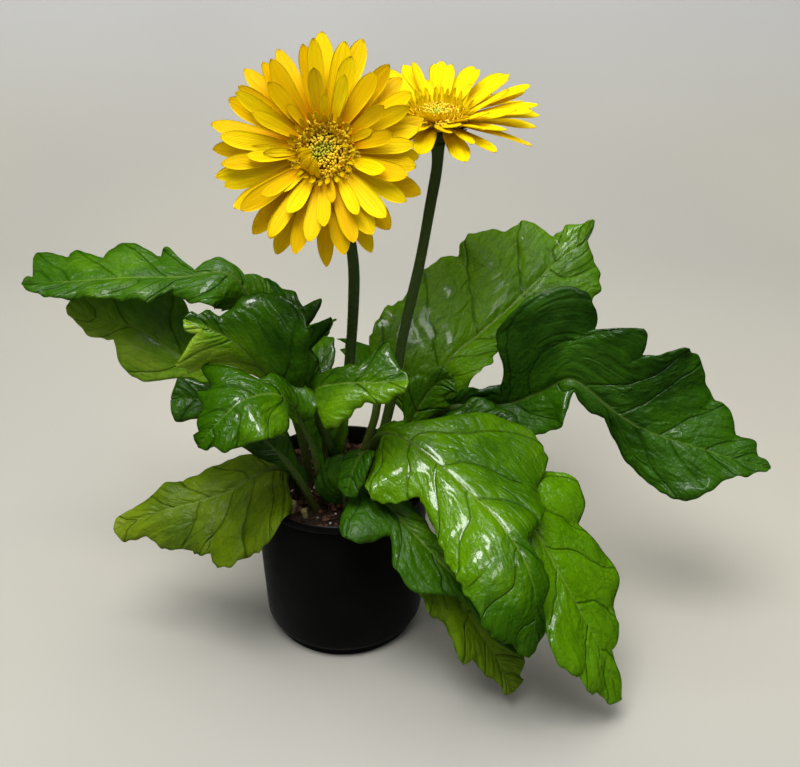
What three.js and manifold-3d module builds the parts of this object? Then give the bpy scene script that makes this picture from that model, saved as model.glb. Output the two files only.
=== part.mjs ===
// Potted gerbera: a nursery pot of soil with nineteen leaves and two blooms.
// Millimetres, +Z up, +X to the right, the front towards -Y.
// The origin is the centre of the pot's foot, on the surface it stands on.
import * as THREE from "three";
import { mergeVertices } from "three/addons/utils/BufferGeometryUtils.js";
import Module from "manifold-3d";

const manifoldLibrary = await Module();
manifoldLibrary.setup();
const { Manifold, Mesh: SolidMesh } = manifoldLibrary;

// ---- Driving dimensions ----
const GAP = 0.3; // clearance between pieces that touch

const POT = {
  height: 108,
  wall: 1.8,
  edge: 0.8, // rounding of the lip and the foot
  lipRadius: 55,
  lipDepth: 5,
  lipStep: 1.6, // how far the lip stands out of the body
  bodyRadius: 50.5, // at the bottom, just above the shoulder
  shoulder: 5, // rounding at the bottom of the body
  footRadius: 46,
  footHeight: 6,
  footRing: 6, // width of the ring that it stands on
  footPad: 18, // radius of the flat middle, which it also stands on
  footRecess: 1.5, // how far the floor is raised between the two, round the drain holes
  drains: { number: 6, radius: 4, circle: 27, sides: 8 },
  sides: 30,
};

const SOIL = { top: 97.5, bump: 1.4, rings: 3, sides: 24 };

const LEAF = {
  petiole: 2.5, // half width of a leaf stalk
  petioleStep: 22, // between the rings of its loft
  thickness: 0.8,
  ridge: 1.5, // how far the midrib stands out below the blade
  roundness: 1, // of the lobes: 0 for straight edges, 1 for full curves
  ruffle: 2, // how far the lobes lift and the notches drop
  ruffleWidth: 20, // half width from which a lobe ruffles fully
  sweep: 0.45, // how far the side veins run forward for each mm outwards
  sweepAtBase: 0.25, // share of that where the blade begins
  sweepGrowth: 2.5,
  tip: 0.8, // half width of the blunt tip
  evening: 15, // how far each way along the rib a sharp bend is evened out in the blade
};
const LEAF_ACROSS = [-1, -0.5, 0, 0.5, 1];
const SHORTEST_STEP = 3; // between the rings of a blade, in percent of it
const LONGEST_STEP = 28; // and in mm along its midrib or margins

// Heights here are along the bloom's axis, from the middle of its ring.
const BLOOM = {
  sides: 14,
  ring: { inner: 9.3, outer: 15.5, bottom: -1.2, top: 3, bevel: 1.5 },
  disc: { radius: 9, side: 1.5, rise: 2.9 },
  cup: { radius: 12.6, depth: 13 },
  bractsInRow: 8,
};
// One row of petals each. Angles are in degrees above the plane of the ring.
const PETAL_ROWS = [
  { count: 16, root: 13, height: -0.5, length: 43, width: 11, rise: 4, lift: -8, turn: 0 },
  { count: 16, root: 12.4, height: 1.1, length: 41.5, width: 10.6, rise: 15, lift: -4, turn: 0.5 },
  { count: 12, root: 11.8, height: 2.3, length: 30, width: 8.4, rise: 30, lift: 2, turn: 0.2 },
  { count: 12, root: 11, height: 2.2, length: 13, width: 3.2, rise: 62, lift: 20, turn: 0.6 },
];
const LONG_PETAL = 20; // shorter ones are the thin florets round the disc
const PETAL_THICKNESS = 1;
const PETAL_SCATTER = { turn: 0.16, length: 0.06, rise: 3, roll: 8 };
// Outlines: share of the length, then share of the width.
const PETAL_SHAPE = [[0, 0.34], [0.36, 0.8], [0.74, 1], [1, 0.14]];
const SHORT_PETAL_SHAPE = [[0, 0.7], [0.6, 1], [1, 0.3]];
// The green scales under each bloom, one row each.
const BRACT_ROWS = [
  { root: 6.5, height: -11, length: 7, width: 4, rise: 60, lift: -10, turn: 0 },
  { root: 10, height: -6.5, length: 8.5, width: 5, rise: 38, lift: -12, turn: 0.5 },
];
const BRACT_THICKNESS = 1.6;
const BRACT_SHAPE = [[0, 0.8], [0.5, 1], [1, 0.15]];
const FLORETS = { number: 18, height: 1.8, root: 1, radius: 0.9, tip: 0.35, sides: 4, lean: 15 };
const GOLDEN_ANGLE = Math.PI * (3 - Math.sqrt(5));
const STALK = { radius: 3.1, sides: 8, step: 20 };

// Each bloom: the centre of its ring, the way it faces and the path of its stalk.
const BLOOMS = [
  {
    centre: [-1, -24, 320],
    faces: [-0.04, -0.9, 0.42],
    // Petal length all round, as shares: to the right first, then up and on to the left.
    reach: [0.84, 0.95, 1.05, 1.02, 1.02, 1, 1.03, 0.97],
    stalk: [[-3, 2, 86], [2, 4, 140], [7, 4, 184], [10, 4, 220], [10.5, 3, 249], [6, 4, 282]],
    seed: 1,
  },
  {
    centre: [58, 40, 317],
    faces: [0.02, -0.1, 1],
    reach: [1.04, 1, 1, 1, 1, 0.94, 0.84, 0.96],
    stalk: [[9, 4, 86], [23, 9, 120], [32, 15, 156], [39, 22, 195], [48, 31, 235], [54, 39, 268]],
    seed: 2,
  },
];

const COLOURS = {
  pot: { color: 0x17181a, roughness: 0.45, metalness: 0 },
  soil: { color: 0x2e2019, roughness: 0.95, metalness: 0 },
  leaf: { color: 0x3c7a14, roughness: 0.35, metalness: 0 },
  stalk: { color: 0x33521c, roughness: 0.6, metalness: 0 },
  rays: { color: 0xf7c40a, roughness: 0.55, metalness: 0 },
  disc: { color: 0x8d9422, roughness: 0.7, metalness: 0 },
};

// Each leaf grows along its rib, from the soil to the tip; x, y, z in mm.
// bladeStart: the share of the rib where the blade begins. wingFrom: the share of the leaf
// stalk where its wings begin, which are as wide as the margins' first value at the blade.
// face: the way the upper side looks, from the soil to the tip.
// fold: the angle at which each half leaves the midrib, in degrees, from the base of the
// blade to its tip; up is positive. curl: how much more it turns by the margin.
// left and right: the margin, as [percent of the blade, half width in mm]. Notches and
// lobes alternate, starting with a notch.
const LEAVES = {
  leaf_01: { // upper left, level
    rib: [[-18, 6, 86], [-26, 9, 137], [-45, 16, 196], [-53, 18, 224], [-65, 18, 235],
      [-89, 16, 233], [-120, 15, 233], [-152, 14, 231], [-179, 12, 231]],
    bladeStart: 0.44,
    wingFrom: 0.5,
    face: [[-0.9, -0.2, 0.3], [-0.7, -0.3, 0.6], [-0.1, -0.2, 1], [0, -0.1, 1], [0, -0.1, 1]],
    fold: { left: [-50, -25, -10, -10, 0], right: [10, 15, 15, 10, 0] },
    curl: { left: [0, -15, -15, 0], right: [0, 0, 0] },
    left: [[0, 10], [18, 24], [42, 9], [48, 18], [58, 15], [66, 15], [76, 11], [81, 14], [88, 10],
      [91, 9], [100, 0]],
    right: [[0, 8], [9, 15], [17, 7], [25, 10], [35, 5], [41, 22], [45, 21], [57, 30], [66, 22],
      [75, 28], [79, 26], [91, 31], [95, 10], [97, 8], [100, 0]],
  },
  leaf_02: { // left, below the first
    rib: [[-17, -3, 86], [-37, 2, 127], [-62, 12, 153], [-81, 20, 170], [-102, 26, 180],
      [-120, 30, 192], [-137, 32, 196], [-151, 33, 199], [-163, 33, 206]],
    bladeStart: 0.34,
    wingFrom: 0.4,
    face: [[-0.8, -0.3, 0.4], [-0.6, -0.4, 0.6], [-0.4, -0.6, 0.7], [-0.4, -0.6, 0.7]],
    fold: { left: [-10, -10, 0], right: [25, 20, 10] },
    curl: { left: [0, 0], right: [0, 0] },
    left: [[0, 7], [20, 18], [35, 12], [49, 28], [73, 10], [79, 12], [91, 6], [95, 5], [100, 0]],
    right: [[0, 7], [26, 27], [36, 20], [54, 34], [66, 22], [80, 24], [88, 14], [94, 10], [100, 0]],
  },
  leaf_03: { // middle left, standing
    rib: [[-9, -7, 86], [-12, -14, 141], [-22, -22, 167], [-29, -28, 182], [-39, -34, 200],
      [-51, -38, 218], [-63, -40, 228], [-77, -41, 235]],
    bladeStart: 0.42,
    wingFrom: 0.6,
    face: [[-0.8, -0.5, 0.2], [-0.7, -0.5, 0.5], [-0.4, -0.6, 0.7], [-0.3, -0.6, 0.7]],
    fold: { left: [-20, -40, -30, 0], right: [25, 35, 25, 5] },
    curl: { left: [-10, -20, -10], right: [-20, -30, -10] },
    left: [[0, 7], [22, 20], [34, 16], [62, 35], [72, 29], [82, 28], [89, 5], [94, 6], [100, 0]],
    right: [[0, 5], [18, 19], [25, 18], [46, 40], [80, 9], [86, 9], [92, 5], [95, 5], [100, 0]],
  },
  leaf_04: { // back left, standing
    rib: [[-10, 13, 86], [-15, 15, 122], [-22, 16, 158], [-25, 20, 183], [-30, 27, 205],
      [-43, 42, 213], [-63, 62, 209], [-82, 80, 199]],
    bladeStart: 0.3,
    wingFrom: 0.4,
    face: [[-0.6, -0.6, 0.2], [-0.5, -0.7, 0.4], [-0.3, -0.5, 0.8], [-0.2, -0.3, 0.9]],
    fold: { left: [0, 0, 0], right: [0, 0, 0] },
    curl: { left: [0, 0], right: [0, 0] },
    left: [[0, 7], [20, 14], [30, 10], [46, 22], [56, 15], [68, 24], [78, 14], [88, 12], [100, 0]],
    right: [[0, 7], [14, 13], [25, 9], [29, 26], [33, 8], [36, 22], [41, 9], [46, 9], [53, 6],
      [60, 6], [72, 4], [84, 6], [100, 0]],
  },
  leaf_05: { // near left, glossy
    rib: [[-8, -16, 86], [-13, -28, 145], [-20, -40, 174], [-26, -52, 194], [-36, -58, 199],
      [-47, -66, 199], [-58, -73, 191], [-69, -78, 179]],
    bladeStart: 0.46,
    wingFrom: 0.3,
    face: [[-0.7, -0.6, 0.3], [-0.5, -0.7, 0.5], [-0.2, -0.5, 0.8], [-0.4, -0.6, 0.6]],
    fold: { left: [-10, -10, 0], right: [10, 0, 0] },
    curl: { left: [0, -10], right: [-10, -20] },
    left: [[0, 6], [48, 26], [74, 17], [80, 16], [91, 7], [95, 5], [100, 0]],
    right: [[0, 8], [30, 9], [43, 8], [50, 38], [61, 26], [66, 27], [77, 16], [84, 13], [91, 8],
      [95, 8], [100, 0]],
  },
  leaf_06: { // centre, folded
    rib: [[0, -9, 86], [-2, -15, 120], [-6, -23, 150], [-12, -31, 172], [-10, -38, 190],
      [5, -45, 198], [25, -49, 201], [41, -51, 204]],
    bladeStart: 0.5,
    wingFrom: 0.5,
    face: [[-0.6, -0.7, 0.3], [-0.3, -0.6, 0.8], [0, -0.4, 0.9], [0.2, -0.5, 0.8]],
    fold: { left: [10, 15, 15, 0], right: [-25, -25, -10, 0] },
    curl: { left: [0, 0], right: [-10, -10] },
    left: [[0, 3], [30, 8], [38, 8], [48, 10], [60, 12], [74, 22], [90, 8], [95, 5], [100, 0]],
    right: [[0, 16], [26, 26], [65, 10], [74, 12], [88, 8], [94, 7], [100, 0]],
  },
  leaf_07: { // upper right, standing at the back
    rib: [[13, 18, 86], [44, 18, 120], [55, 26, 145], [67, 36, 167], [86, 50, 178],
      [107, 64, 191], [130, 80, 208], [151, 92, 222], [160, 98, 235]],
    bladeStart: 0.25,
    wingFrom: 0.35,
    face: [[-0.3, -0.9, 0.2], [0, -0.8, 0.5], [0.1, -0.7, 0.7], [0.3, -0.6, 0.7]],
    fold: { left: [10, 5, 0, -10], right: [30, 30, 0, -20] },
    curl: { left: [-10, -10], right: [0, 0] },
    left: [[0, 10], [14, 51], [20, 48], [28, 54], [43, 48], [50, 52], [65, 38], [71, 35],
      [82, 14], [88, 14], [95, 6], [97, 4], [100, 0]],
    right: [[0, 5], [24, 22], [36, 16], [48, 26], [58, 22], [71, 33], [92, 4], [96, 3], [100, 0]],
  },
  leaf_08: { // far right, arched
    rib: [[26, 9, 86], [45, 10, 122], [55, 15, 141], [79, 15, 148], [102, 13, 150], [121, 9, 161],
      [136, 5, 172], [150, 1, 165], [166, -3, 153], [186, -7, 142], [211, -11, 135],
      [235, -14, 128], [258, -16, 123]],
    bladeStart: 0.27,
    wingFrom: 0.5,
    face: [[0.2, -0.8, 0.5], [0, -0.8, 0.6], [0, -0.7, 0.7], [0.2, -0.6, 0.8], [0.3, -0.6, 0.8]],
    fold: { left: [40, 45, 35, 10, 0], right: [0, 0, -45, -20, 0] },
    curl: { left: [0, 0], right: [0, 0] },
    left: [[0, 8], [6, 12], [14, 14], [24, 58], [31, 35], [33, 47], [39, 38], [52, 54], [72, 35],
      [76, 31], [86, 18], [89, 16], [95, 7], [97, 5], [100, 0]],
    right: [[0, 8], [27, 26], [37, 7], [44, 10], [50, 7], [69, 34], [84, 15], [89, 11], [94, 6],
      [97, 4], [100, 0]],
  },
  leaf_09: { // front right, largest
    rib: [[15, -5, 86], [17, -6, 112], [21, -10, 136], [29, -20, 150], [42, -32, 152],
      [56, -44, 147], [71, -58, 140], [85, -73, 134], [96, -87, 127], [104, -98, 117],
      [109, -106, 102], [109, -112, 86], [107, -115, 66]],
    bladeStart: 0.24,
    wingFrom: 0.6,
    face: [[-0.2, -0.9, 0.3], [0.2, -0.6, 0.7], [0.3, -0.5, 0.8], [0.4, -0.6, 0.7],
      [0.5, -0.7, 0.5]],
    fold: { left: [10, 0, 0, 0], right: [-5, -15, -10, 0] },
    curl: { left: [-10, -20, 0], right: [-10, -15, 0] },
    left: [[0, 3], [8, 10], [10, 10], [25, 66], [39, 44], [41, 40], [61, 11], [72, 12], [82, 6],
      [90, 8], [95, 6], [97, 4], [100, 0]],
    right: [[0, 3], [13, 40], [27, 20], [52, 38], [61, 36], [74, 34], [93, 10], [95, 8], [100, 0]],
  },
  leaf_10: { // right, behind the largest
    rib: [[24, -9, 86], [49, -12, 124], [66, -22, 134], [83, -36, 134], [99, -50, 124],
      [113, -62, 111], [125, -74, 94], [137, -84, 75], [151, -93, 50], [165, -99, 17]],
    bladeStart: 0.22,
    wingFrom: 0.45,
    face: [[0.2, -0.7, 0.6], [0.4, -0.6, 0.8], [0.5, -0.6, 0.7], [0.7, -0.6, 0.5]],
    fold: { left: [0, 0, 0], right: [0, 0, 0] },
    curl: { left: [0, 0], right: [0, 0] },
    left: [[0, 6], [13, 18], [19, 16], [28, 44], [40, 31], [57, 37], [70, 27], [75, 22], [83, 9],
      [90, 8], [100, 0]],
    right: [[0, 6], [22, 26], [34, 22], [48, 34], [58, 26], [64, 32], [77, 22], [82, 21],
      [90, 12], [94, 10], [100, 0]],
  },
  leaf_11: { // front, against the pot
    rib: [[6, -20, 86], [5, -29, 114], [14, -37, 123], [28, -47, 119], [42, -57, 109],
      [57, -68, 97], [74, -81, 84], [91, -93, 67], [105, -101, 53]],
    bladeStart: 0.17,
    wingFrom: 0.6,
    face: [[-0.2, -0.9, 0.2], [0.1, -0.7, 0.6], [0.2, -0.6, 0.8], [0.4, -0.7, 0.6]],
    fold: { left: [30, 0, 0, 0], right: [36, 12, 0, 0] },
    curl: { left: [0, 0], right: [0, 0] },
    left: [[0, 21], [3, 22], [9, 6], [18, 10], [42, 9], [56, 14], [70, 10], [82, 10], [100, 0]],
    right: [[0, 20], [16, 31], [29, 11], [39, 25], [66, 5], [80, 6], [100, 0]],
  },
  leaf_12: { // front, tip near the table
    rib: [[15, -17, 86], [21, -29, 108], [34, -44, 114], [48, -56, 100], [62, -66, 81],
      [76, -74, 60], [89, -80, 40], [99, -85, 22], [104, -88, 12]],
    bladeStart: 0.4,
    wingFrom: 0.6,
    face: [[0.1, -0.8, 0.5], [0.3, -0.7, 0.6], [0.5, -0.7, 0.5], [0.6, -0.7, 0.3]],
    fold: { left: [0, 0, 0], right: [0, 0, 0] },
    curl: { left: [0, 0], right: [0, 0] },
    left: [[0, 3], [24, 18], [38, 12], [56, 18], [66, 12], [84, 16], [92, 10], [96, 9], [100, 0]],
    right: [[0, 3], [22, 20], [36, 14], [58, 20], [66, 11], [74, 12], [84, 7], [93, 7], [100, 0]],
  },
  leaf_13: { // lower left, drooping
    rib: [[-27, -10, 86], [-26, -9, 104], [-30, -12, 117], [-38, -16, 122], [-48, -19, 120],
      [-58, -22, 115], [-68, -24, 110], [-86, -28, 106], [-110, -31, 100], [-135, -33, 89]],
    bladeStart: 0.26,
    wingFrom: 0.6,
    face: [[-0.3, -0.6, 0.7], [-0.4, -0.6, 0.7], [-0.3, -0.7, 0.7], [-0.3, -0.7, 0.6]],
    fold: { left: [30, 8, -12, -10], right: [0, 0, 0] },
    curl: { left: [-5, -15, -20], right: [-30, -30] },
    left: [[0, 36], [10, 50], [21, 45], [24, 46], [37, 33], [40, 32], [50, 27], [59, 25],
      [80, 12], [93, 10], [100, 0]],
    right: [[0, 3], [28, 23], [50, 17], [54, 17], [84, 9], [93, 8], [100, 0]],
  },
  leaf_14: { // left, under the standing one
    rib: [[-12, -22, 86], [-17, -27, 108], [-25, -28, 129], [-40, -27, 148], [-55, -27, 165],
      [-68, -27, 174], [-82, -26, 177], [-93, -25, 176]],
    bladeStart: 0.38,
    wingFrom: 0.6,
    face: [[-0.7, -0.5, 0.4], [-0.5, -0.6, 0.6], [-0.3, -0.7, 0.6]],
    fold: { left: [0, 0, 0], right: [0, 0, 0] },
    curl: { left: [0, 0], right: [0, 0] },
    left: [[0, 7], [24, 12], [40, 9], [56, 15], [68, 9], [90, 13], [100, 0]],
    right: [[0, 7], [24, 14], [40, 11], [58, 18], [70, 12], [88, 12], [100, 0]],
  },
  leaf_15: { // small, right of centre
    rib: [[18, 8, 86], [36, 5, 123], [43, 7, 139], [49, 9, 152], [56, 11, 162], [63, 11, 168],
      [69, 9, 169]],
    bladeStart: 0.36,
    wingFrom: 0.5,
    face: [[0.3, -0.8, 0.4], [0.4, -0.8, 0.4], [0.4, -0.8, 0.5], [0.5, -0.7, 0.5]],
    fold: { left: [10, 10, 10], right: [10, 10, 10] },
    curl: { left: [0, 0], right: [0, 0] },
    left: [[0, 6], [22, 8], [36, 7], [58, 15], [74, 9], [88, 9], [100, 0]],
    right: [[0, 6], [22, 8], [36, 6], [58, 15], [74, 10], [88, 9], [100, 0]],
  },
  leaf_16: { // right, behind the largest
    rib: [[27, 0, 86], [40, 0, 120], [50, -3, 129], [66, -5, 137], [81, -5, 143], [95, -6, 145],
      [107, -7, 143]],
    bladeStart: 0.3,
    wingFrom: 0.5,
    face: [[0.2, -0.5, 0.8], [0, -0.5, 0.9], [0.2, -0.4, 0.9]],
    fold: { left: [50, 45, 30], right: [-10, -10, 0] },
    curl: { left: [-20, -20], right: [0, 0] },
    left: [[0, 6], [24, 13], [40, 12], [62, 18], [76, 13], [90, 10], [100, 0]],
    right: [[0, 6], [24, 8], [40, 7], [62, 9], [76, 7], [90, 7], [100, 0]],
  },
  leaf_17: { // small, front
    rib: [[8, -13, 86], [11, -22, 112], [17, -29, 134], [18, -35, 147], [14, -42, 149],
      [9, -48, 140], [6, -52, 128]],
    bladeStart: 0.6,
    wingFrom: 0.5,
    face: [[0.2, 0.9, 0.2], [0.1, 0.6, 0.7], [-0.2, -0.2, 0.9], [-0.4, -0.6, 0.7]],
    fold: { left: [0, 0, 0], right: [0, 0, 0] },
    curl: { left: [0, 0], right: [0, 0] },
    left: [[0, 3], [46, 9], [60, 9], [80, 8], [100, 0]],
    right: [[0, 5], [46, 10], [60, 10], [80, 8], [100, 0]],
  },
  leaf_18: { // back
    rib: [[5, 22, 86], [20, 34, 125], [22, 52, 140], [22, 78, 143], [22, 108, 134],
      [22, 138, 118], [21, 164, 96]],
    bladeStart: 0.32,
    wingFrom: 0.6,
    face: [[0, -0.4, 0.8], [0, 0.3, 0.9], [0, 0.4, 0.9], [0, 0.8, 0.6]],
    fold: { left: [20, 15, 0], right: [10, 5, 0] },
    curl: { left: [0, 0], right: [0, 0] },
    left: [[0, 3], [20, 24], [32, 16], [46, 30], [60, 20], [74, 26], [86, 14], [92, 12], [100, 0]],
    right: [[0, 3], [20, 22], [30, 15], [46, 32], [60, 20], [74, 26], [84, 15], [92, 12], [100, 0]],
  },
  leaf_19: { // back left
    rib: [[-5, 21, 86], [-13, 32, 122], [-20, 48, 143], [-26, 70, 155], [-32, 96, 154],
      [-38, 124, 143], [-42, 150, 124]],
    bladeStart: 0.32,
    wingFrom: 0.6,
    face: [[-0.2, -0.4, 0.8], [-0.1, 0.3, 0.9], [0, 0.4, 0.9], [0, 0.8, 0.6]],
    fold: { left: [10, 5, 0], right: [20, 15, 0] },
    curl: { left: [0, 0], right: [0, 0] },
    left: [[0, 3], [20, 22], [30, 15], [46, 30], [60, 20], [74, 24], [84, 14], [92, 11], [100, 0]],
    right: [[0, 3], [20, 20], [30, 14], [44, 28], [56, 19], [72, 26], [84, 14], [92, 12], [100, 0]],
  },
};

// ---- Numbers and curves ----
const radians = THREE.MathUtils.degToRad;
const mix = THREE.MathUtils.lerp;
const vector = (point) => new THREE.Vector3(...point);
const count = (total) => Array.from({ length: total }, (_, i) => i);

/** A repeatable number from -1 to 1 for any whole number. */
function scatter(n) {
  const value = Math.sin(n * 12.9898 + 4.1) * 43758.5453;
  return 2 * (value - Math.floor(value)) - 1;
}

/** The value of evenly spaced numbers at t from 0 to 1, on a smooth curve through them. */
function along(values, t) {
  const x = THREE.MathUtils.clamp(t, 0, 1) * (values.length - 1);
  const i = Math.min(Math.floor(x), values.length - 2);
  const f = x - i;
  const [a, b] = [values[i], values[i + 1]];
  const before = i > 0 ? values[i - 1] : 2 * a - b;
  const after = i + 2 < values.length ? values[i + 2] : 2 * b - a;
  const bend = 2 * before - 5 * a + 4 * b - after + f * (3 * (a - b) + after - before);
  return a + (f / 2) * (b - before + f * bend);
}

/** The value at an angle of values that are evenly spaced round a circle. */
function around(values, angle) {
  const x = THREE.MathUtils.euclideanModulo(angle / (2 * Math.PI), 1) * values.length;
  const i = Math.floor(x);
  return mix(values[i % values.length], values[(i + 1) % values.length], x - i);
}

function smoothCurve(points) {
  const curve = new THREE.CatmullRomCurve3(points.map(vector), false, "catmullrom", 0.5);
  curve.arcLengthDivisions = 400;
  return curve;
}

// ---- Solids ----
/** A solid from points and, for each face, the numbers of its three corners. */
function solidOf(points, faces) {
  return new Manifold(new SolidMesh({
    numProp: 3,
    vertProperties: new Float32Array(points.flatMap((p) => p.toArray())),
    triVerts: new Uint32Array(faces.flat()),
  }));
}

function solidFrom(geometry) {
  geometry.deleteAttribute("normal");
  geometry.deleteAttribute("uv");
  const welded = mergeVertices(geometry, 1e-4);
  const position = welded.getAttribute("position");
  const index = welded.getIndex().array;
  const points = count(position.count).map((i) =>
    new THREE.Vector3().fromBufferAttribute(position, i));
  const faces = count(index.length / 3)
    .map((i) => [index[3 * i], index[3 * i + 1], index[3 * i + 2]])
    .filter(([a, b, c]) => a !== b && b !== c && c !== a);
  return solidOf(points, faces);
}

/** A closed solid through rings of points; each ring runs along the top, then back below. */
function loft(rings) {
  const size = rings[0].length;
  const last = (rings.length - 1) * size;
  const faces = [];
  for (const k of count(size)) {
    const next = (k + 1) % size;
    for (const i of count(rings.length - 1)) {
      const [a, b] = [i * size + k, i * size + next];
      const [c, d] = [b + size, a + size];
      // The underside has the same diagonals as the top.
      if (k < size / 2) faces.push([a, b, c], [a, c, d]);
      else faces.push([a, b, d], [b, c, d]);
    }
  }
  for (const k of count(size - 2)) {
    faces.push([0, k + 2, k + 1], [last, last + k + 1, last + k + 2]);
  }
  return solidOf(rings.flat(), faces);
}

/** A turned shape; the profile is [radius, height] pairs from the axis and back to it. */
function turned(profile, sides) {
  const outline = profile.map(([radius, height]) => new THREE.Vector2(radius, height));
  return new THREE.LatheGeometry(outline, sides).rotateX(Math.PI / 2);
}

function meshOf(name, solid, finish) {
  const { vertProperties, triVerts } = solid.getMesh();
  const geometry = new THREE.BufferGeometry();
  geometry.setAttribute("position", new THREE.BufferAttribute(vertProperties, 3));
  geometry.setIndex(new THREE.BufferAttribute(triVerts, 1));
  geometry.computeVertexNormals();
  const mesh = new THREE.Mesh(geometry, new THREE.MeshStandardMaterial(finish));
  mesh.name = name;
  return mesh;
}

// ---- Pot ----
const BODY_START = POT.footHeight + POT.shoulder;
const BODY_END = POT.height - POT.lipDepth - POT.edge;

/** Outer radius of the pot's body at a height. */
function bodyRadius(z) {
  const share = (z - BODY_START) / (BODY_END - BODY_START);
  return mix(POT.bodyRadius, POT.lipRadius - POT.lipStep, share);
}

function makePot() {
  const { height, wall, edge, lipRadius, lipDepth, shoulder, drains } = POT;
  const { footRadius, footHeight, footRing, footPad, footRecess } = POT;
  const floor = footRecess + wall;
  const shoulderArc = [-90, -60, -30, 0].map((degrees) => [
    POT.bodyRadius - shoulder * (1 - Math.cos(radians(degrees))),
    BODY_START + shoulder * Math.sin(radians(degrees)),
  ]);
  const pot = solidFrom(turned([
    [0, 0],
    [footPad, 0],
    [footPad + edge, footRecess],
    [footRadius - footRing - edge, footRecess],
    [footRadius - footRing, 0],
    [footRadius - edge, 0],
    [footRadius, edge],
    [footRadius, footHeight],
    ...shoulderArc,
    [bodyRadius(BODY_END), BODY_END],
    [lipRadius, height - lipDepth],
    [lipRadius, height - edge],
    [lipRadius - edge, height],
    [lipRadius - wall, height],
    [bodyRadius(BODY_END) - wall, BODY_END],
    [POT.bodyRadius - wall, BODY_START],
    [footRadius - wall, footHeight + wall],
    [footRadius - wall, floor],
    [0, floor],
  ], POT.sides));
  const holes = count(drains.number).map((i) => {
    const angle = (2 * Math.PI * i) / drains.number;
    const { radius, circle, sides } = drains;
    const hole = new THREE.CylinderGeometry(radius, radius, 4 * floor, sides).rotateX(Math.PI / 2);
    return solidFrom(hole.translate(circle * Math.cos(angle), circle * Math.sin(angle), 0));
  });
  return pot.subtract(Manifold.union(holes));
}

// ---- Soil ----
/** Radius of the soil's corners, clear of the flats of the pot's wall. */
const clearOfWall = (radius) => (radius - POT.wall) * Math.cos(Math.PI / POT.sides) - GAP;

function makeSoil() {
  const floor = POT.footRecess + POT.wall + GAP;
  const foot = clearOfWall(POT.footRadius);
  const edge = clearOfWall(bodyRadius(SOIL.top));
  const surface = turned([
    [0, floor],
    [foot, floor],
    [foot, POT.footHeight + POT.wall],
    [clearOfWall(POT.bodyRadius), BODY_START + GAP],
    ...count(SOIL.rings + 1).map((ring) => [edge * (1 - ring / SOIL.rings), SOIL.top]),
  ], SOIL.sides);
  const position = surface.getAttribute("position");
  for (const i of count(position.count)) {
    const [x, y, z] = [position.getX(i), position.getY(i), position.getZ(i)];
    const bumps = Math.sin(x * 0.31 + 2) * Math.cos(y * 0.27) + Math.sin(x * 0.13 - y * 0.4);
    if (z > BODY_START + SOIL.bump) position.setZ(i, z + (SOIL.bump / 2) * bumps);
  }
  const holes = [...Object.values(LEAVES).map(leafHole), ...BLOOMS.map(stalkHole)];
  return solidFrom(surface).subtract(Manifold.union(holes));
}

/** A plain hole that a stalk stands in, from rings round the stalk with a clearance. */
function holeThrough(rings) {
  const [root, next] = rings;
  const length = root[0].distanceTo(next[0]);
  const deeper = root.map((point, i) => point.clone().lerp(next[i], -GAP / length));
  const surface = SOIL.top + SOIL.bump;
  const above = rings.findIndex((ring) => ring.every((point) => point.z > surface));
  return loft([deeper, ...rings.slice(1, above + 1)]);
}

function leafHole(leaf) {
  const curve = smoothCurve(leaf.rib);
  return holeThrough(stalkStations(leaf, curve).map((u) =>
    petioleRing(leaf, curve, u, LEAF.petiole + GAP)));
}

function stalkHole(bloom) {
  return holeThrough(stemRings(bloom, STALK.radius + GAP / Math.cos(Math.PI / STALK.sides)));
}

// ---- Leaves ----
/** Half width of the blade in mm, and how much of a lobe (1) or notch (-1) that place is. */
function margin(pairs, percent) {
  const i = Math.max(1, pairs.findIndex(([at]) => at >= percent));
  const [[x0, w0], [x1, w1]] = [pairs[i - 1], pairs[i]];
  const f = Math.max(0, (percent - x0) / (x1 - x0));
  const rising = i % 2 === 1;
  const turn = (Math.PI / 2) * f;
  const round = mix(f, rising ? Math.sin(turn) : 1 - Math.cos(turn), LEAF.roundness);
  return { width: mix(w0, w1, round), lobe: (rising ? round : 1 - round) * 2 - 1 };
}

/**
 * How far the wings along the leaf stalk have grown, from 0 where they begin to 1 at the blade.
 * Places below the blade are negative percents of it.
 */
function wingGrowth(leaf, percent) {
  const length = (100 * leaf.bladeStart * (1 - leaf.wingFrom)) / (1 - leaf.bladeStart);
  const grown = THREE.MathUtils.clamp(1 + percent / length, 0, 1);
  return grown * (2 - grown);
}

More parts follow.
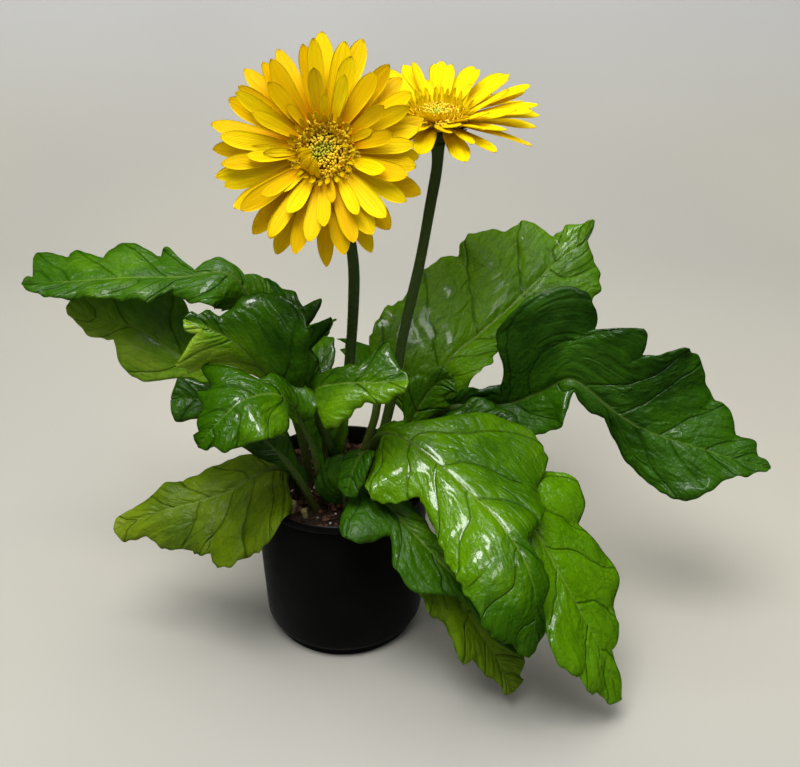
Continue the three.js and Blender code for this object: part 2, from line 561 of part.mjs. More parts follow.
/**
 * A place on the middle of the blade or the wings below it; across runs from -1 at the left
 * to 1 at the right.
 */
function bladePoint(leaf, curve, percent, across) {
  const side = across > 0 ? "right" : "left";
  const out = Math.abs(across);
  const grown = wingGrowth(leaf, percent);
  const { width, lobe } = margin(leaf[side], percent);
  const wide = Math.max(width * grown, LEAF.tip);
  const t = percent / 100;
  const length = curve.getLength();
  const straight = length * mix(leaf.bladeStart, 1, t);
  const left = Math.max(length - straight, 1e-6);
  const sweep = LEAF.sweep
    * THREE.MathUtils.clamp(LEAF.sweepAtBase + LEAF.sweepGrowth * t, 0, 1);
  const reached = straight + left * Math.tanh((sweep * wide * out) / left);
  const u = Math.min(reached / length, 1);
  const point = curve.getPointAt(u);
  const { normal, toRight } = frameAt(leaf, curve, u);
  const fold = radians(along(leaf.fold[side], t));
  const curl = radians(along(leaf.curl[side], t)) || 1e-3;
  const turned = fold + curl * out;
  const sideways = (wide * (Math.sin(turned) - Math.sin(fold))) / curl;
  const ruffle = LEAF.ruffle * lobe * grown * out * out * Math.min(1, wide / LEAF.ruffleWidth);
  const lift = (wide * (Math.cos(fold) - Math.cos(turned))) / curl + ruffle;
  return point
    .addScaledVector(toRight, sideways * Math.sign(across))
    .addScaledVector(normal, lift);
}

/** The way the upper side looks and the way to the right, evened out along a short stretch. */
function frameAt(leaf, curve, u) {
  const reach = LEAF.evening / curve.getLength();
  const tangent = curve.getPointAt(Math.min(u + reach, 1))
    .sub(curve.getPointAt(Math.max(u - reach, 0))).normalize();
  const normal = new THREE.Vector3(...[0, 1, 2].map((i) => along(leaf.face.map((f) => f[i]), u)));
  normal.addScaledVector(tangent, -normal.dot(tangent)).normalize();
  return { normal, toRight: new THREE.Vector3().crossVectors(tangent, normal) };
}

/** The percents of the blade that get a ring: every notch and lobe, and steps between. */
function bladeStations(leaf, curve) {
  const named = [...leaf.left, ...leaf.right].map(([at]) => at).sort((a, b) => a - b);
  const kept = named.filter((at, i) => i === 0 || at - named[i - 1] >= SHORTEST_STEP || at === 100);
  const between = (from, to) => {
    const apart = [-1, 0, 1].map((across) => bladePoint(leaf, curve, from, across)
      .distanceTo(bladePoint(leaf, curve, to, across)));
    const half = mix(from, to, 0.5);
    return Math.max(...apart) > LONGEST_STEP && to - from > SHORTEST_STEP
      ? [...between(from, half), ...between(half, to)]
      : [to];
  };
  return [0, ...kept.slice(1).flatMap((to, i) => between(kept[i], to))];
}

/** The ring round a leaf stalk, nearly round, and its wings where they stand out of it. */
function petioleRing(leaf, curve, u, radius) {
  const percent = (100 * (u - leaf.bladeStart)) / (1 - leaf.bladeStart);
  const point = curve.getPointAt(u);
  const { normal, toRight } = frameAt(leaf, curve, u);
  const bluntness = 1.15; // over 1, so that the sides have some height too
  const placed = (across, face) => {
    const [, first] = leaf[across > 0 ? "right" : "left"][0];
    const wide = Math.max(radius, first * wingGrowth(leaf, percent));
    const out = (across * wide) / radius;
    const height = radius * Math.sqrt(Math.max(0, bluntness - out * out));
    const middle = wide > radius
      ? bladePoint(leaf, curve, percent, across)
      : point.clone().addScaledVector(toRight, across * radius);
    return middle.addScaledVector(normal, face * Math.max(height, LEAF.thickness / 2));
  };
  return [
    ...LEAF_ACROSS.map((across) => placed(across, 1)),
    ...LEAF_ACROSS.toReversed().map((across) => placed(across, -1)),
  ];
}

function bladeRing(leaf, curve, percent) {
  const step = 0.5;
  const [before, after] = [Math.max(percent - step, 0), Math.min(percent + step, 100)];
  const middle = LEAF_ACROSS.map((across) => bladePoint(leaf, curve, percent, across));
  const thickened = (face) => middle.map((point, k) => {
    const lengthwise = bladePoint(leaf, curve, after, LEAF_ACROSS[k])
      .sub(bladePoint(leaf, curve, before, LEAF_ACROSS[k]));
    const sideways = middle[Math.min(k + 1, middle.length - 1)].clone()
      .sub(middle[Math.max(k - 1, 0)]);
    const normal = new THREE.Vector3().crossVectors(sideways, lengthwise).normalize();
    const ridge = face < 0 && LEAF_ACROSS[k] === 0 ? LEAF.ridge * (1 - percent / 100) : 0;
    return point.clone().addScaledVector(normal, face * (LEAF.thickness / 2 + ridge));
  });
  return [...thickened(1), ...thickened(-1).toReversed()];
}

/** How far along the rib, as shares of it, the rings of the leaf stalk lie. */
function stalkStations(leaf, curve) {
  const wings = leaf.bladeStart * leaf.wingFrom;
  const total = Math.ceil((curve.getLength() * wings) / LEAF.petioleStep);
  const plain = count(total + 1).map((i) => (wings * i) / total);
  return [...plain, mix(wings, leaf.bladeStart, 0.5)];
}

function makeLeaf(leaf) {
  const curve = smoothCurve(leaf.rib);
  const rings = stalkStations(leaf, curve).map((u) =>
    petioleRing(leaf, curve, u, LEAF.petiole));
  rings.push(...bladeStations(leaf, curve).map((percent) => bladeRing(leaf, curve, percent)));
  return loft(rings);
}

// ---- Blooms ----
/** The bloom's own frame: its axis is Z, its ring lies about the origin. */
function bloomFrame(bloom) {
  const axis = vector(bloom.faces).normalize();
  const right = new THREE.Vector3(0, 0, 1).cross(axis).normalize();
  const up = new THREE.Vector3().crossVectors(axis, right);
  return new THREE.Matrix4().makeBasis(right, up, axis).setPosition(vector(bloom.centre));
}

/** A flat pointed piece, such as a petal or bract, along a line in a plane through the axis. */
function bladeOf({ angle, root, height, length, width, rise, lift, roll, thickness, shape }) {
  const outwards = new THREE.Vector3(Math.cos(angle), Math.sin(angle), 0);
  const sideways = new THREE.Vector3(-Math.sin(angle), Math.cos(angle), 0);
  const upwards = new THREE.Vector3(0, 0, 1);
  const point = outwards.clone().multiplyScalar(root).addScaledVector(upwards, height);
  let reached = 0;
  const rings = shape.map(([share, widthShare]) => {
    const slope = radians(rise + lift * (share + reached));
    const heading = outwards.clone().multiplyScalar(Math.cos(slope))
      .addScaledVector(upwards, Math.sin(slope));
    point.addScaledVector(heading, length * (share - reached));
    reached = share;
    const across = sideways.clone().applyAxisAngle(heading, radians(roll));
    const face = new THREE.Vector3().crossVectors(heading, across);
    const half = (width / 2) * widthShare;
    const deep = (thickness / 2) * Math.min(1, 0.4 + widthShare);
    return [
      point.clone().addScaledVector(across, half),
      point.clone().addScaledVector(face, deep),
      point.clone().addScaledVector(across, -half),
      point.clone().addScaledVector(face, -deep),
    ];
  });
  return loft(rings);
}

function petalsOf(row, bloom, firstSeed) {
  return count(row.count).map((i) => {
    const seed = firstSeed + 4 * i;
    const place = i + row.turn + PETAL_SCATTER.turn * scatter(seed);
    const angle = (2 * Math.PI * place) / row.count;
    const reach = around(bloom.reach, angle) * (1 + PETAL_SCATTER.length * scatter(seed + 1));
    return bladeOf({
      ...row,
      angle,
      length: row.length * reach,
      rise: row.rise + PETAL_SCATTER.rise * scatter(seed + 2),
      roll: PETAL_SCATTER.roll * scatter(seed + 3),
      thickness: PETAL_THICKNESS,
      shape: row.length > LONG_PETAL ? PETAL_SHAPE : SHORT_PETAL_SHAPE,
    });
  });
}

/** The ring that carries all petals of a bloom, and the petals, in the bloom's own frame. */
function makeRays(bloom) {
  const { inner, outer, bottom, top, bevel } = BLOOM.ring;
  const ring = solidFrom(turned([
    [inner, bottom],
    [outer - bevel, bottom],
    [outer, bottom + bevel],
    [outer - bevel, top],
    [inner, top],
    [inner, bottom],
  ], BLOOM.sides));
  const petals = PETAL_ROWS.flatMap((row, i) => petalsOf(row, bloom, bloom.seed * 1000 + i * 100));
  return Manifold.union([ring, ...petals]);
}

/** The domed middle of a bloom with its small florets, in the bloom's own frame. */
function makeDisc() {
  const { radius, side, rise } = BLOOM.disc;
  const { bottom } = BLOOM.ring;
  const shoulder = bottom + side;
  const domeHeight = (share) => shoulder + rise * (1 - share ** 4);
  const dome = solidFrom(turned([
    [0, bottom],
    [radius, bottom],
    ...[1, 0.75, 0.4, 0].map((share) => [radius * share, domeHeight(share)]),
  ], BLOOM.sides));
  const florets = count(FLORETS.number).map((i) => {
    const share = Math.sqrt((i + 0.5) / FLORETS.number);
    const out = (radius - 2 * FLORETS.radius) * share;
    const { height, root, sides } = FLORETS;
    const floret = new THREE.CylinderGeometry(FLORETS.tip, FLORETS.radius, height + root, sides)
      .translate(0, (height - root) / 2, 0)
      .rotateX(Math.PI / 2)
      .rotateY(radians(FLORETS.lean) * share)
      .translate(out, 0, domeHeight(out / radius))
      .rotateZ(i * GOLDEN_ANGLE);
    return solidFrom(floret);
  });
  return Manifold.union([dome, ...florets]);
}

/** The stalk's middle line, which ends inside the cup, along the bloom's axis. */
function stalkCurve(bloom) {
  const frame = bloomFrame(bloom);
  const neck = [-2.2, -1].map((depths) =>
    new THREE.Vector3(0, 0, depths * BLOOM.cup.depth).applyMatrix4(frame).toArray());
  return smoothCurve([...bloom.stalk, ...neck]);
}

function stemRings(bloom, radius) {
  const curve = stalkCurve(bloom);
  const last = Math.ceil(curve.getLength() / STALK.step);
  return count(last + 1).map((i) => {
    const middle = curve.getPointAt(i / last);
    const heading = curve.getTangentAt(i / last);
    const back = new THREE.Vector3(1, 0, 0).cross(heading).normalize();
    const side = new THREE.Vector3().crossVectors(heading, back);
    return count(STALK.sides).map((k) => {
      const angle = (-2 * Math.PI * k) / STALK.sides;
      return middle.clone()
        .addScaledVector(side, radius * Math.cos(angle))
        .addScaledVector(back, radius * Math.sin(angle));
    });
  });
}

/** The stalk with the green cup and its scales, in the bloom's own frame. */
function makeStalk(bloom) {
  const toBloom = bloomFrame(bloom).invert();
  const stem = loft(stemRings(bloom, STALK.radius).map((ring) =>
    ring.map((point) => point.applyMatrix4(toBloom))));
  const { radius, depth } = BLOOM.cup;
  const top = BLOOM.ring.bottom - GAP;
  const cup = solidFrom(turned([
    [0, -depth - GAP],
    [STALK.radius, -depth],
    [radius * 0.55, -depth * 0.72],
    [radius * 0.9, -depth * 0.4],
    [radius, top],
    [0, top],
  ], BLOOM.sides));
  const scales = BRACT_ROWS.flatMap((row) => count(BLOOM.bractsInRow).map((i) => bladeOf({
    ...row,
    angle: (2 * Math.PI * (i + row.turn)) / BLOOM.bractsInRow,
    roll: 0,
    thickness: BRACT_THICKNESS,
    shape: BRACT_SHAPE,
  })));
  return Manifold.union([stem, cup, ...scales]);
}

// ---- The whole plant ----
const plant = new THREE.Group();
plant.add(meshOf("pot", makePot(), COLOURS.pot));
plant.add(meshOf("soil", makeSoil(), COLOURS.soil));
for (const [name, leaf] of Object.entries(LEAVES)) {
  plant.add(meshOf(name, makeLeaf(leaf), COLOURS.leaf));
}
for (const [i, bloom] of BLOOMS.entries()) {
  const head = new THREE.Group();
  head.applyMatrix4(bloomFrame(bloom));
  head.add(meshOf(`stalk_${i + 1}`, makeStalk(bloom), COLOURS.stalk));
  head.add(meshOf(`rays_${i + 1}`, makeRays(bloom), COLOURS.rays));
  head.add(meshOf(`disc_${i + 1}`, makeDisc(), COLOURS.disc));
  plant.add(head);
}

export default plant;
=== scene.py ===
"""Potted gerbera: the looks of the plant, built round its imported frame.

Sizes are in millimetres, +Z up, the front towards -Y; meshes, lamps and the camera are in metres.
"""

import math

import bpy
import numpy as np
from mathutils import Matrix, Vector


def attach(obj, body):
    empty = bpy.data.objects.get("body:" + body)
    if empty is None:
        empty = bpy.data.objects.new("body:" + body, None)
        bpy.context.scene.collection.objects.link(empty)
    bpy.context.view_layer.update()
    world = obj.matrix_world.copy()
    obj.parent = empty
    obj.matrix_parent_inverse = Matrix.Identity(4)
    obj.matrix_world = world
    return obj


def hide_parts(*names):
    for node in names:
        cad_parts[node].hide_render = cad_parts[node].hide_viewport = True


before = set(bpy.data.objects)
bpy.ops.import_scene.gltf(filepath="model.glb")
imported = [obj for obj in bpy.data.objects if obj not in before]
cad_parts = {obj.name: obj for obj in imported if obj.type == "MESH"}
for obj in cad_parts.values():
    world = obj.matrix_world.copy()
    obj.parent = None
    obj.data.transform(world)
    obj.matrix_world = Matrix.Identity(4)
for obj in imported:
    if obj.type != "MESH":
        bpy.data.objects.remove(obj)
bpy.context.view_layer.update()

MM = 0.001  # metres in a millimetre
TURN = 2 * math.pi
GOLDEN_ANGLE = math.pi * (3 - math.sqrt(5))

# ---- Driving dimensions, those of the frame ----
POT = {
    "height": 108, "wall": 1.8, "edge": 0.8, "lip_radius": 55, "lip_depth": 5, "lip_step": 1.6,
    "body_radius": 50.5, "shoulder": 5, "foot_radius": 46, "foot_height": 6, "foot_ring": 6,
    "foot_pad": 18, "foot_recess": 1.5, "sides": 160,
}
DRAINS = {"number": 6, "radius": 4, "circle": 27, "sides": 32}
SOIL = {"top": 97.5, "bump": 1.4, "below": 12}

LEAF = {
    "petiole": 2.5,  # half width of a leaf stalk
    "thickness": 0.8,
    "ruffle": 2,  # how far the lobes lift and the notches drop
    "ruffle_width": 20,  # half width from which a lobe ruffles fully
    "sweep": 0.45,  # how far the side veins run forward for each mm outwards
    "sweep_at_base": 0.25,  # share of that where the blade begins
    "sweep_growth": 2.5,
    "tip": 0.8,  # half width of the blunt tip
    "evening": 15,  # how far each way along the rib a sharp bend is evened out
}

BLOOM = {
    "ring": {"inner": 9.3, "outer": 15.5, "bottom": -1.2, "top": 3, "sides": 48},
    "disc": {"radius": 9, "side": 1.5, "rise": 2.9, "sides": 40},
    "cup": {"radius": 12.6, "depth": 13, "sides": 36},
}
STALK = {"radius": 3.1, "sides": 20, "step": 3, "flare": 0.42, "flare_length": 16}
GAP = 0.3  # clearance between pieces that touch

# One row of petals each. Angles are in degrees above the plane of the ring.
PETAL_ROWS = [
    {"count": 16, "root": 13, "height": -0.5, "length": 43, "width": 10, "rise": 4, "lift": -8,
     "turn": 0, "seed": 0},
    {"count": 16, "root": 12.4, "height": 1.1, "length": 41.5, "width": 9.7, "rise": 15, "lift": -4,
     "turn": 0.5, "seed": 100},
    {"count": 15, "root": 12.2, "height": 1.7, "length": 38.5, "width": 9, "rise": 21, "lift": -3,
     "turn": 0.1, "seed": 500},
    {"count": 12, "root": 11.8, "height": 2.3, "length": 30, "width": 7.6, "rise": 30, "lift": 2,
     "turn": 0.2, "seed": 200},
    {"count": 7, "root": 11.4, "height": 2.5, "length": 19, "width": 4.6, "rise": 40, "lift": -6,
     "turn": 0.6, "seed": 600},
]
# Thin short florets between the petals and the disc.
STRAP_ROWS = [
    {"count": 26, "root": 12, "height": 2.2, "length": 12, "width": 2.4, "rise": 50, "lift": 12,
     "turn": 0.3, "seed": 300},
    {"count": 30, "root": 10.6, "height": 2.2, "length": 8.5, "width": 1.8, "rise": 68, "lift": 14,
     "turn": 0.6, "seed": 700},
]
# Scales on the green cup, from the stalk up.
SCALE_ROWS = [
    {"count": 10, "root": 4.6, "height": -12.4, "length": 7, "width": 3.2, "rise": 66, "lift": -9},
    {"count": 13, "root": 6.6, "height": -10.2, "length": 8, "width": 3.4, "rise": 58, "lift": -9},
    {"count": 16, "root": 9.2, "height": -7.2, "length": 9, "width": 3.6, "rise": 48, "lift": -9},
    {"count": 18, "root": 11.2, "height": -4.2, "length": 9, "width": 3.4, "rise": 34, "lift": -9},
]
PETAL_SCATTER = {"turn": 0.2, "length": 0.07, "rise": 5, "roll": 17, "width": 0.13}
# The curled petals are placed in degrees.
CURLED_ROW = {"count": 360, "root": 13.5, "height": 1.5, "turn": 0}
# Two lengthwise grooves of a petal, in half widths from its middle; they end in notches.
GROOVE = {"place": 0.36, "width": 0.16, "notch": 0.012}

# How the thin pieces of a bloom are made. blunt: share of the length over which the tip rounds
# off. grooves: their depth. cupping: how far the edges lift for each mm of half width.
PETAL = {"rows": 18, "columns": 9, "thickness": 0.5, "blunt": 0.30, "grooves": 0.30, "cupping": 0.12}
CURLED = {**PETAL, "grooves": 0.1, "cupping": 0.2}
STRAP = {**PETAL, "rows": 7, "columns": 3, "thickness": 0.4, "grooves": 0.0, "cupping": 0.3}
SCALE = {"rows": 6, "columns": 5, "thickness": 0.7, "blunt": 0.85, "grooves": 0.0, "cupping": -0.3}

# Each bloom: the centre of its ring, the way it faces and the path of its stalk.
BLOOMS = [
    {
        "centre": (-1, -24, 320),
        "faces": (-0.04, -0.9, 0.42),
        # Petal length all round, as shares: to the right first, then up and on to the left.
        "reach": [0.84, 0.94, 1.03, 1.01, 1.02, 1, 1.0, 0.91],
        "stalk": [(-3, 2, 86), (2, 4, 140), (7, 4, 184), (10, 4, 220), (10.5, 3, 249), (6, 4, 282)],
        # Small petals that curl over the disc: degrees round the ring, length, width, rise, lift.
        "curled": [(188, 15, 2.6, 84, 38), (199, 16, 3.6, 80, 42), (211, 14, 4.0, 88, 36),
            (222, 16, 3.8, 78, 42), (233, 14, 4.4, 86, 38), (244, 16, 3.6, 80, 42),
            (256, 12, 3.4, 84, 36), (179, 22, 2.4, 26, -10), (10, 13, 1.6, 84, 34),
            (24, 10, 2.0, 66, 20)],
        "open": 0,  # degrees by which the outer petals rise more
        # light: partly the petals' own tone and partly painted light and shade on the bloom as a whole
        "light": -0.4,  # how much lighter its petals are, from -1 to 1
        "straps": 0.35,  # the same for its short florets, from 0 to 1
        "seed": 1,
    },
    {
        "centre": (58, 40, 317),
        "faces": (0.02, -0.1, 1),
        "reach": [1.04, 1, 1, 1, 1, 0.94, 0.84, 0.96],
        "stalk": [(9, 4, 86), (23, 9, 120), (32, 15, 156), (39, 22, 195), (48, 31, 235),
            (54, 39, 268)],
        "curled": [],
        "open": 4,
        "light": 1.0,
        "straps": 0.1,
        "seed": 2,
    },
]

# Each leaf grows along its rib, from the soil to the tip; x, y, z in mm.
# start: the share of the rib where the blade begins. wing_from: the share of the leaf stalk
# where its wings begin, which are as wide as the margins' first value where the blade begins.
# face: the way the upper side looks, from the soil to the tip.
# fold: the angle at which each half leaves the midrib, in degrees, from the base of the
# blade to its tip; up is positive. curl: how much more it turns by the margin. A leaf without
# fold or curl has none.
# tone: how light the left half is, the right half, and how much lighter it gets at the tip; 0 is
# dark, 1 bright, 1.5 pale. These are partly the leaf's own tone and partly painted light and shade:
# a half that lies in shade is painted darker, a lit one lighter, and over 1 a half is painted pale as
# if lit. gloss: 0 matte to 1 wet. olive: 0 green to 1 olive.
# left and right: the margin, as (percent of the blade, half width). Notches and lobes
# alternate, starting with a notch.
LEAVES = {
    "leaf_01": {  # upper left, level
        "rib": [(-18, 6, 86), (-26, 9, 137), (-45, 16, 196), (-53, 18, 224), (-65, 18, 235), (-89, 16, 233),
            (-120, 15, 233), (-152, 14, 231), (-179, 12, 231)],
        "start": 0.44, "wing_from": 0.5, "tone": (0.56, 0.54, 0), "gloss": 0.25, "olive": 0.1,
        "face": [(-0.9, -0.2, 0.3), (-0.7, -0.3, 0.6), (-0.1, -0.2, 1), (0, -0.1, 1), (0, -0.1, 1)],
        "fold": {"left": [-50, -25, -10, -10, 0], "right": [10, 15, 15, 10, 0]},
        "curl": {"left": [0, -15, -15, 0], "right": [0, 0, 0]},
        "left": [(0, 10), (18, 24), (42, 9), (48, 18), (58, 15), (66, 15), (76, 11), (81, 14), (88, 10),
            (91, 9), (100, 0)],
        "right": [(0, 8), (9, 15), (17, 7), (25, 10), (35, 5), (41, 22), (45, 21), (57, 30), (66, 22),
            (75, 28), (79, 26), (91, 31), (95, 10), (97, 8), (100, 0)],
    },
    "leaf_02": {  # left, below the first
        "rib": [(-17, -3, 86), (-37, 2, 127), (-62, 12, 153), (-81, 20, 170), (-102, 26, 180),
            (-120, 30, 192), (-137, 32, 196), (-151, 33, 199), (-163, 33, 206)],
        # its left half is painted pale, as if lit through, and its right half darker, as in shade
        "start": 0.34, "wing_from": 0.4, "tone": (1.2, 0.6, 0), "gloss": 0.4, "olive": 0.3,
        "face": [(-0.8, -0.3, 0.4), (-0.6, -0.4, 0.6), (-0.4, -0.6, 0.7), (-0.4, -0.6, 0.7)],
        "fold": {"left": [-10, -10, 0], "right": [25, 20, 10]},
        "left": [(0, 7), (20, 18), (35, 12), (49, 28), (73, 10), (79, 12), (91, 6), (95, 5), (100, 0)],
        "right": [(0, 7), (26, 27), (36, 20), (54, 34), (66, 22), (80, 24), (88, 14), (94, 10), (100, 0)],
    },
    "leaf_03": {  # middle left, standing
        "rib": [(-9, -7, 86), (-12, -14, 141), (-22, -22, 167), (-29, -28, 182), (-39, -34, 200),
            (-51, -38, 218), (-63, -40, 228), (-77, -41, 235)],
        # its left half is painted pale, as if lit, and its right half dark, as in shade
        "start": 0.42, "wing_from": 0.6, "tone": (1.6, 0.18, 0), "gloss": 0.8, "olive": 0.2,
        "face": [(-0.8, -0.5, 0.2), (-0.7, -0.5, 0.5), (-0.4, -0.6, 0.7), (-0.3, -0.6, 0.7)],
        "fold": {"left": [-20, -40, -30, 0], "right": [25, 35, 25, 5]},
        "curl": {"left": [-10, -20, -10], "right": [-20, -30, -10]},
        "left": [(0, 7), (22, 22), (34, 20), (62, 35), (72, 29), (82, 28), (89, 5), (94, 6), (100, 0)],
        "right": [(0, 5), (18, 19), (25, 18), (46, 40), (80, 9), (86, 9), (92, 5), (95, 5), (100, 0)],
    },
    "leaf_04": {  # back left, standing
        "rib": [(-10, 13, 86), (-15, 15, 122), (-22, 16, 158), (-25, 20, 183), (-30, 27, 205),
            (-43, 42, 213), (-63, 62, 209), (-82, 80, 199)],
        "start": 0.3, "wing_from": 0.4, "tone": (0.25, 0.25, 0), "gloss": 0.3, "olive": 0.0,
        "face": [(-0.6, -0.6, 0.2), (-0.5, -0.7, 0.4), (-0.3, -0.5, 0.8), (-0.2, -0.3, 0.9)],
        "left": [(0, 7), (20, 14), (30, 10), (46, 22), (56, 15), (68, 24), (78, 14), (88, 12), (100, 0)],
        "right": [(0, 7), (14, 13), (25, 9), (29, 26), (33, 8), (36, 22), (41, 9), (46, 9), (53, 6), (60, 6),
            (72, 4), (84, 6), (100, 0)],
    },
    "leaf_05": {  # near left, glossy
        "rib": [(-8, -16, 86), (-13, -28, 145), (-20, -40, 174), (-26, -52, 194), (-36, -58, 199),
            (-47, -66, 199), (-58, -73, 191), (-69, -78, 179)],
        "start": 0.46, "wing_from": 0.3, "tone": (0.74, 0.52, -0.3), "gloss": 0.95, "olive": 0.15,
        "face": [(-0.7, -0.6, 0.3), (-0.5, -0.7, 0.5), (-0.2, -0.5, 0.8), (-0.4, -0.6, 0.6)],
        "fold": {"left": [-10, -10, 0], "right": [10, 0, 0]},
        "curl": {"left": [0, -10], "right": [-10, -20]},
        "left": [(0, 6), (48, 26), (74, 17), (80, 16), (91, 7), (95, 5), (100, 0)],
        "right": [(0, 8), (30, 15), (43, 14), (50, 38), (61, 26), (66, 27), (77, 16), (84, 13), (91, 8),
            (95, 8), (100, 0)],
    },
    "leaf_06": {  # centre, folded
        "rib": [(0, -9, 86), (-2, -15, 120), (-6, -23, 150), (-12, -31, 172), (-10, -38, 190), (5, -45, 198),
            (25, -49, 201), (41, -51, 204)],
        "start": 0.5, "wing_from": 0.5, "tone": (0.38, 0.86, 0), "gloss": 0.8, "olive": 0.2,
        "face": [(-0.6, -0.7, 0.3), (-0.3, -0.6, 0.8), (0, -0.4, 0.9), (0.2, -0.5, 0.8)],
        "fold": {"left": [10, 15, 15, 0], "right": [-25, -25, -10, 0]},
        "curl": {"left": [0, 0], "right": [-10, -10]},
        "left": [(0, 3), (30, 8), (38, 8), (48, 10), (60, 12), (74, 22), (90, 8), (95, 5), (100, 0)],
        "right": [(0, 16), (26, 26), (65, 10), (74, 12), (88, 8), (94, 7), (100, 0)],
    },
    "leaf_07": {  # upper right, standing at the back
        "rib": [(13, 18, 86), (44, 18, 120), (55, 26, 145), (67, 36, 167), (86, 50, 178), (107, 64, 191),
            (130, 80, 208), (151, 92, 222), (160, 98, 235)],
        "start": 0.25, "wing_from": 0.35, "tone": (0.96, 0.8, 0), "gloss": 0.3, "olive": 0.1,
        "face": [(-0.3, -0.9, 0.2), (0, -0.8, 0.5), (0.1, -0.7, 0.7), (0.3, -0.6, 0.7)],
        "fold": {"left": [10, 5, 0, -10], "right": [30, 30, 0, -20]},
        "curl": {"left": [-10, -10], "right": [0, 0]},
        "left": [(0, 10), (14, 51), (20, 48), (28, 54), (43, 48), (50, 52), (65, 38), (71, 35), (82, 14),
            (88, 14), (95, 6), (97, 4), (100, 0)],
        "right": [(0, 5), (24, 22), (36, 16), (48, 26), (58, 22), (71, 33), (92, 4), (96, 3), (100, 0)],
    },
    "leaf_08": {  # far right, arched
        "rib": [(26, 9, 86), (45, 10, 122), (55, 15, 141), (79, 15, 148), (102, 13, 150), (121, 9, 161),
            (136, 5, 172), (150, 1, 165), (166, -3, 153), (186, -7, 142), (211, -11, 135), (235, -14, 128),
            (258, -16, 123)],
        "start": 0.27, "wing_from": 0.5, "tone": (0.24, 0.34, 0.12), "gloss": 0.35, "olive": 0.0,
        "face": [(0.2, -0.8, 0.5), (0, -0.8, 0.6), (0, -0.7, 0.7), (0.2, -0.6, 0.8), (0.3, -0.6, 0.8)],
        "fold": {"left": [40, 45, 35, 10, 0], "right": [0, 0, -45, -20, 0]},
        "left": [(0, 8), (6, 12), (14, 14), (24, 58), (31, 35), (33, 47), (39, 38), (52, 54), (72, 35),
            (76, 31), (86, 18), (89, 16), (95, 7), (97, 5), (100, 0)],
        "right": [(0, 8), (27, 26), (37, 7), (44, 10), (50, 7), (69, 34), (84, 15), (89, 11), (94, 6),
            (97, 4), (100, 0)],
    },
    "leaf_09": {  # front right, largest
        "rib": [(15, -5, 86), (17, -6, 112), (21, -10, 136), (29, -20, 150), (42, -32, 152), (56, -44, 147),
            (71, -58, 140), (85, -73, 134), (96, -87, 127), (104, -98, 117), (109, -106, 102),
            (109, -112, 86), (107, -115, 66)],
        "start": 0.24, "wing_from": 0.6, "tone": (0.74, 0.92, -0.5), "gloss": 0.9, "olive": 0.1,
        "face": [(-0.2, -0.9, 0.3), (0.2, -0.6, 0.7), (0.3, -0.5, 0.8), (0.4, -0.6, 0.7), (0.5, -0.7, 0.5)],
        "fold": {"left": [10, 0, 0, 0], "right": [-5, -15, -10, 0]},
        "curl": {"left": [-10, -20, 0], "right": [-10, -15, 0]},
        "left": [(0, 3), (8, 10), (10, 10), (25, 66), (39, 44), (41, 40), (61, 11), (72, 12), (82, 6),
            (90, 8), (95, 6), (97, 4), (100, 0)],
        "right": [(0, 3), (13, 40), (27, 20), (52, 38), (61, 36), (74, 34), (93, 10), (95, 8), (100, 0)],
    },
    "leaf_10": {  # right, behind the largest
        "rib": [(24, -9, 86), (49, -12, 124), (66, -22, 134), (83, -36, 134), (99, -50, 124),
            (113, -62, 111), (125, -74, 94), (137, -84, 75), (151, -93, 50), (165, -99, 17)],
        "start": 0.22, "wing_from": 0.45, "tone": (0.88, 0.9, 0.08), "gloss": 1.0, "olive": 0.0,
        "face": [(0.2, -0.7, 0.6), (0.4, -0.6, 0.8), (0.5, -0.6, 0.7), (0.7, -0.6, 0.5)],
        "left": [(0, 6), (13, 18), (19, 16), (28, 44), (40, 31), (57, 37), (70, 27), (75, 22), (83, 9),
            (90, 8), (100, 0)],
        "right": [(0, 6), (22, 26), (34, 22), (48, 34), (58, 26), (64, 32), (77, 22), (82, 21), (90, 12),
            (94, 10), (100, 0)],
    },
    "leaf_11": {  # front, against the pot
        "rib": [(6, -20, 86), (5, -29, 114), (14, -37, 123), (28, -47, 119), (42, -57, 109), (57, -68, 97),
            (74, -81, 84), (91, -93, 67), (105, -101, 53)],
        "start": 0.17, "wing_from": 0.6, "tone": (0.58, 0.46, -0.1), "gloss": 0.12, "olive": 0.1,
        "face": [(-0.2, -0.9, 0.2), (0.1, -0.7, 0.6), (0.2, -0.6, 0.8), (0.4, -0.7, 0.6)],
        "fold": {"left": [30, 0, 0, 0], "right": [36, 12, 0, 0]},
        "left": [(0, 21), (3, 22), (9, 6), (18, 10), (42, 9), (56, 14), (70, 10), (82, 10), (100, 0)],
        "right": [(0, 20), (16, 31), (29, 11), (39, 25), (66, 5), (80, 6), (100, 0)],
    },
    "leaf_12": {  # front, tip near the table
        "rib": [(15, -17, 86), (21, -29, 108), (34, -44, 114), (48, -56, 100), (62, -66, 81), (76, -74, 60),
            (89, -80, 40), (99, -85, 22), (104, -88, 12)],
        "start": 0.4, "wing_from": 0.6, "tone": (0.9, 0.9, 0.1), "gloss": 0.5, "olive": 0.7,
        "face": [(0.1, -0.8, 0.5), (0.3, -0.7, 0.6), (0.5, -0.7, 0.5), (0.6, -0.7, 0.3)],
        "left": [(0, 3), (24, 18), (38, 12), (56, 18), (66, 12), (84, 16), (92, 10), (96, 9), (100, 0)],
        "right": [(0, 3), (22, 20), (36, 14), (58, 20), (66, 11), (74, 12), (84, 7), (93, 7), (100, 0)],
    },
    "leaf_13": {  # lower left, drooping
        "rib": [(-27, -10, 86), (-26, -9, 104), (-30, -12, 117), (-38, -16, 122), (-48, -19, 120),
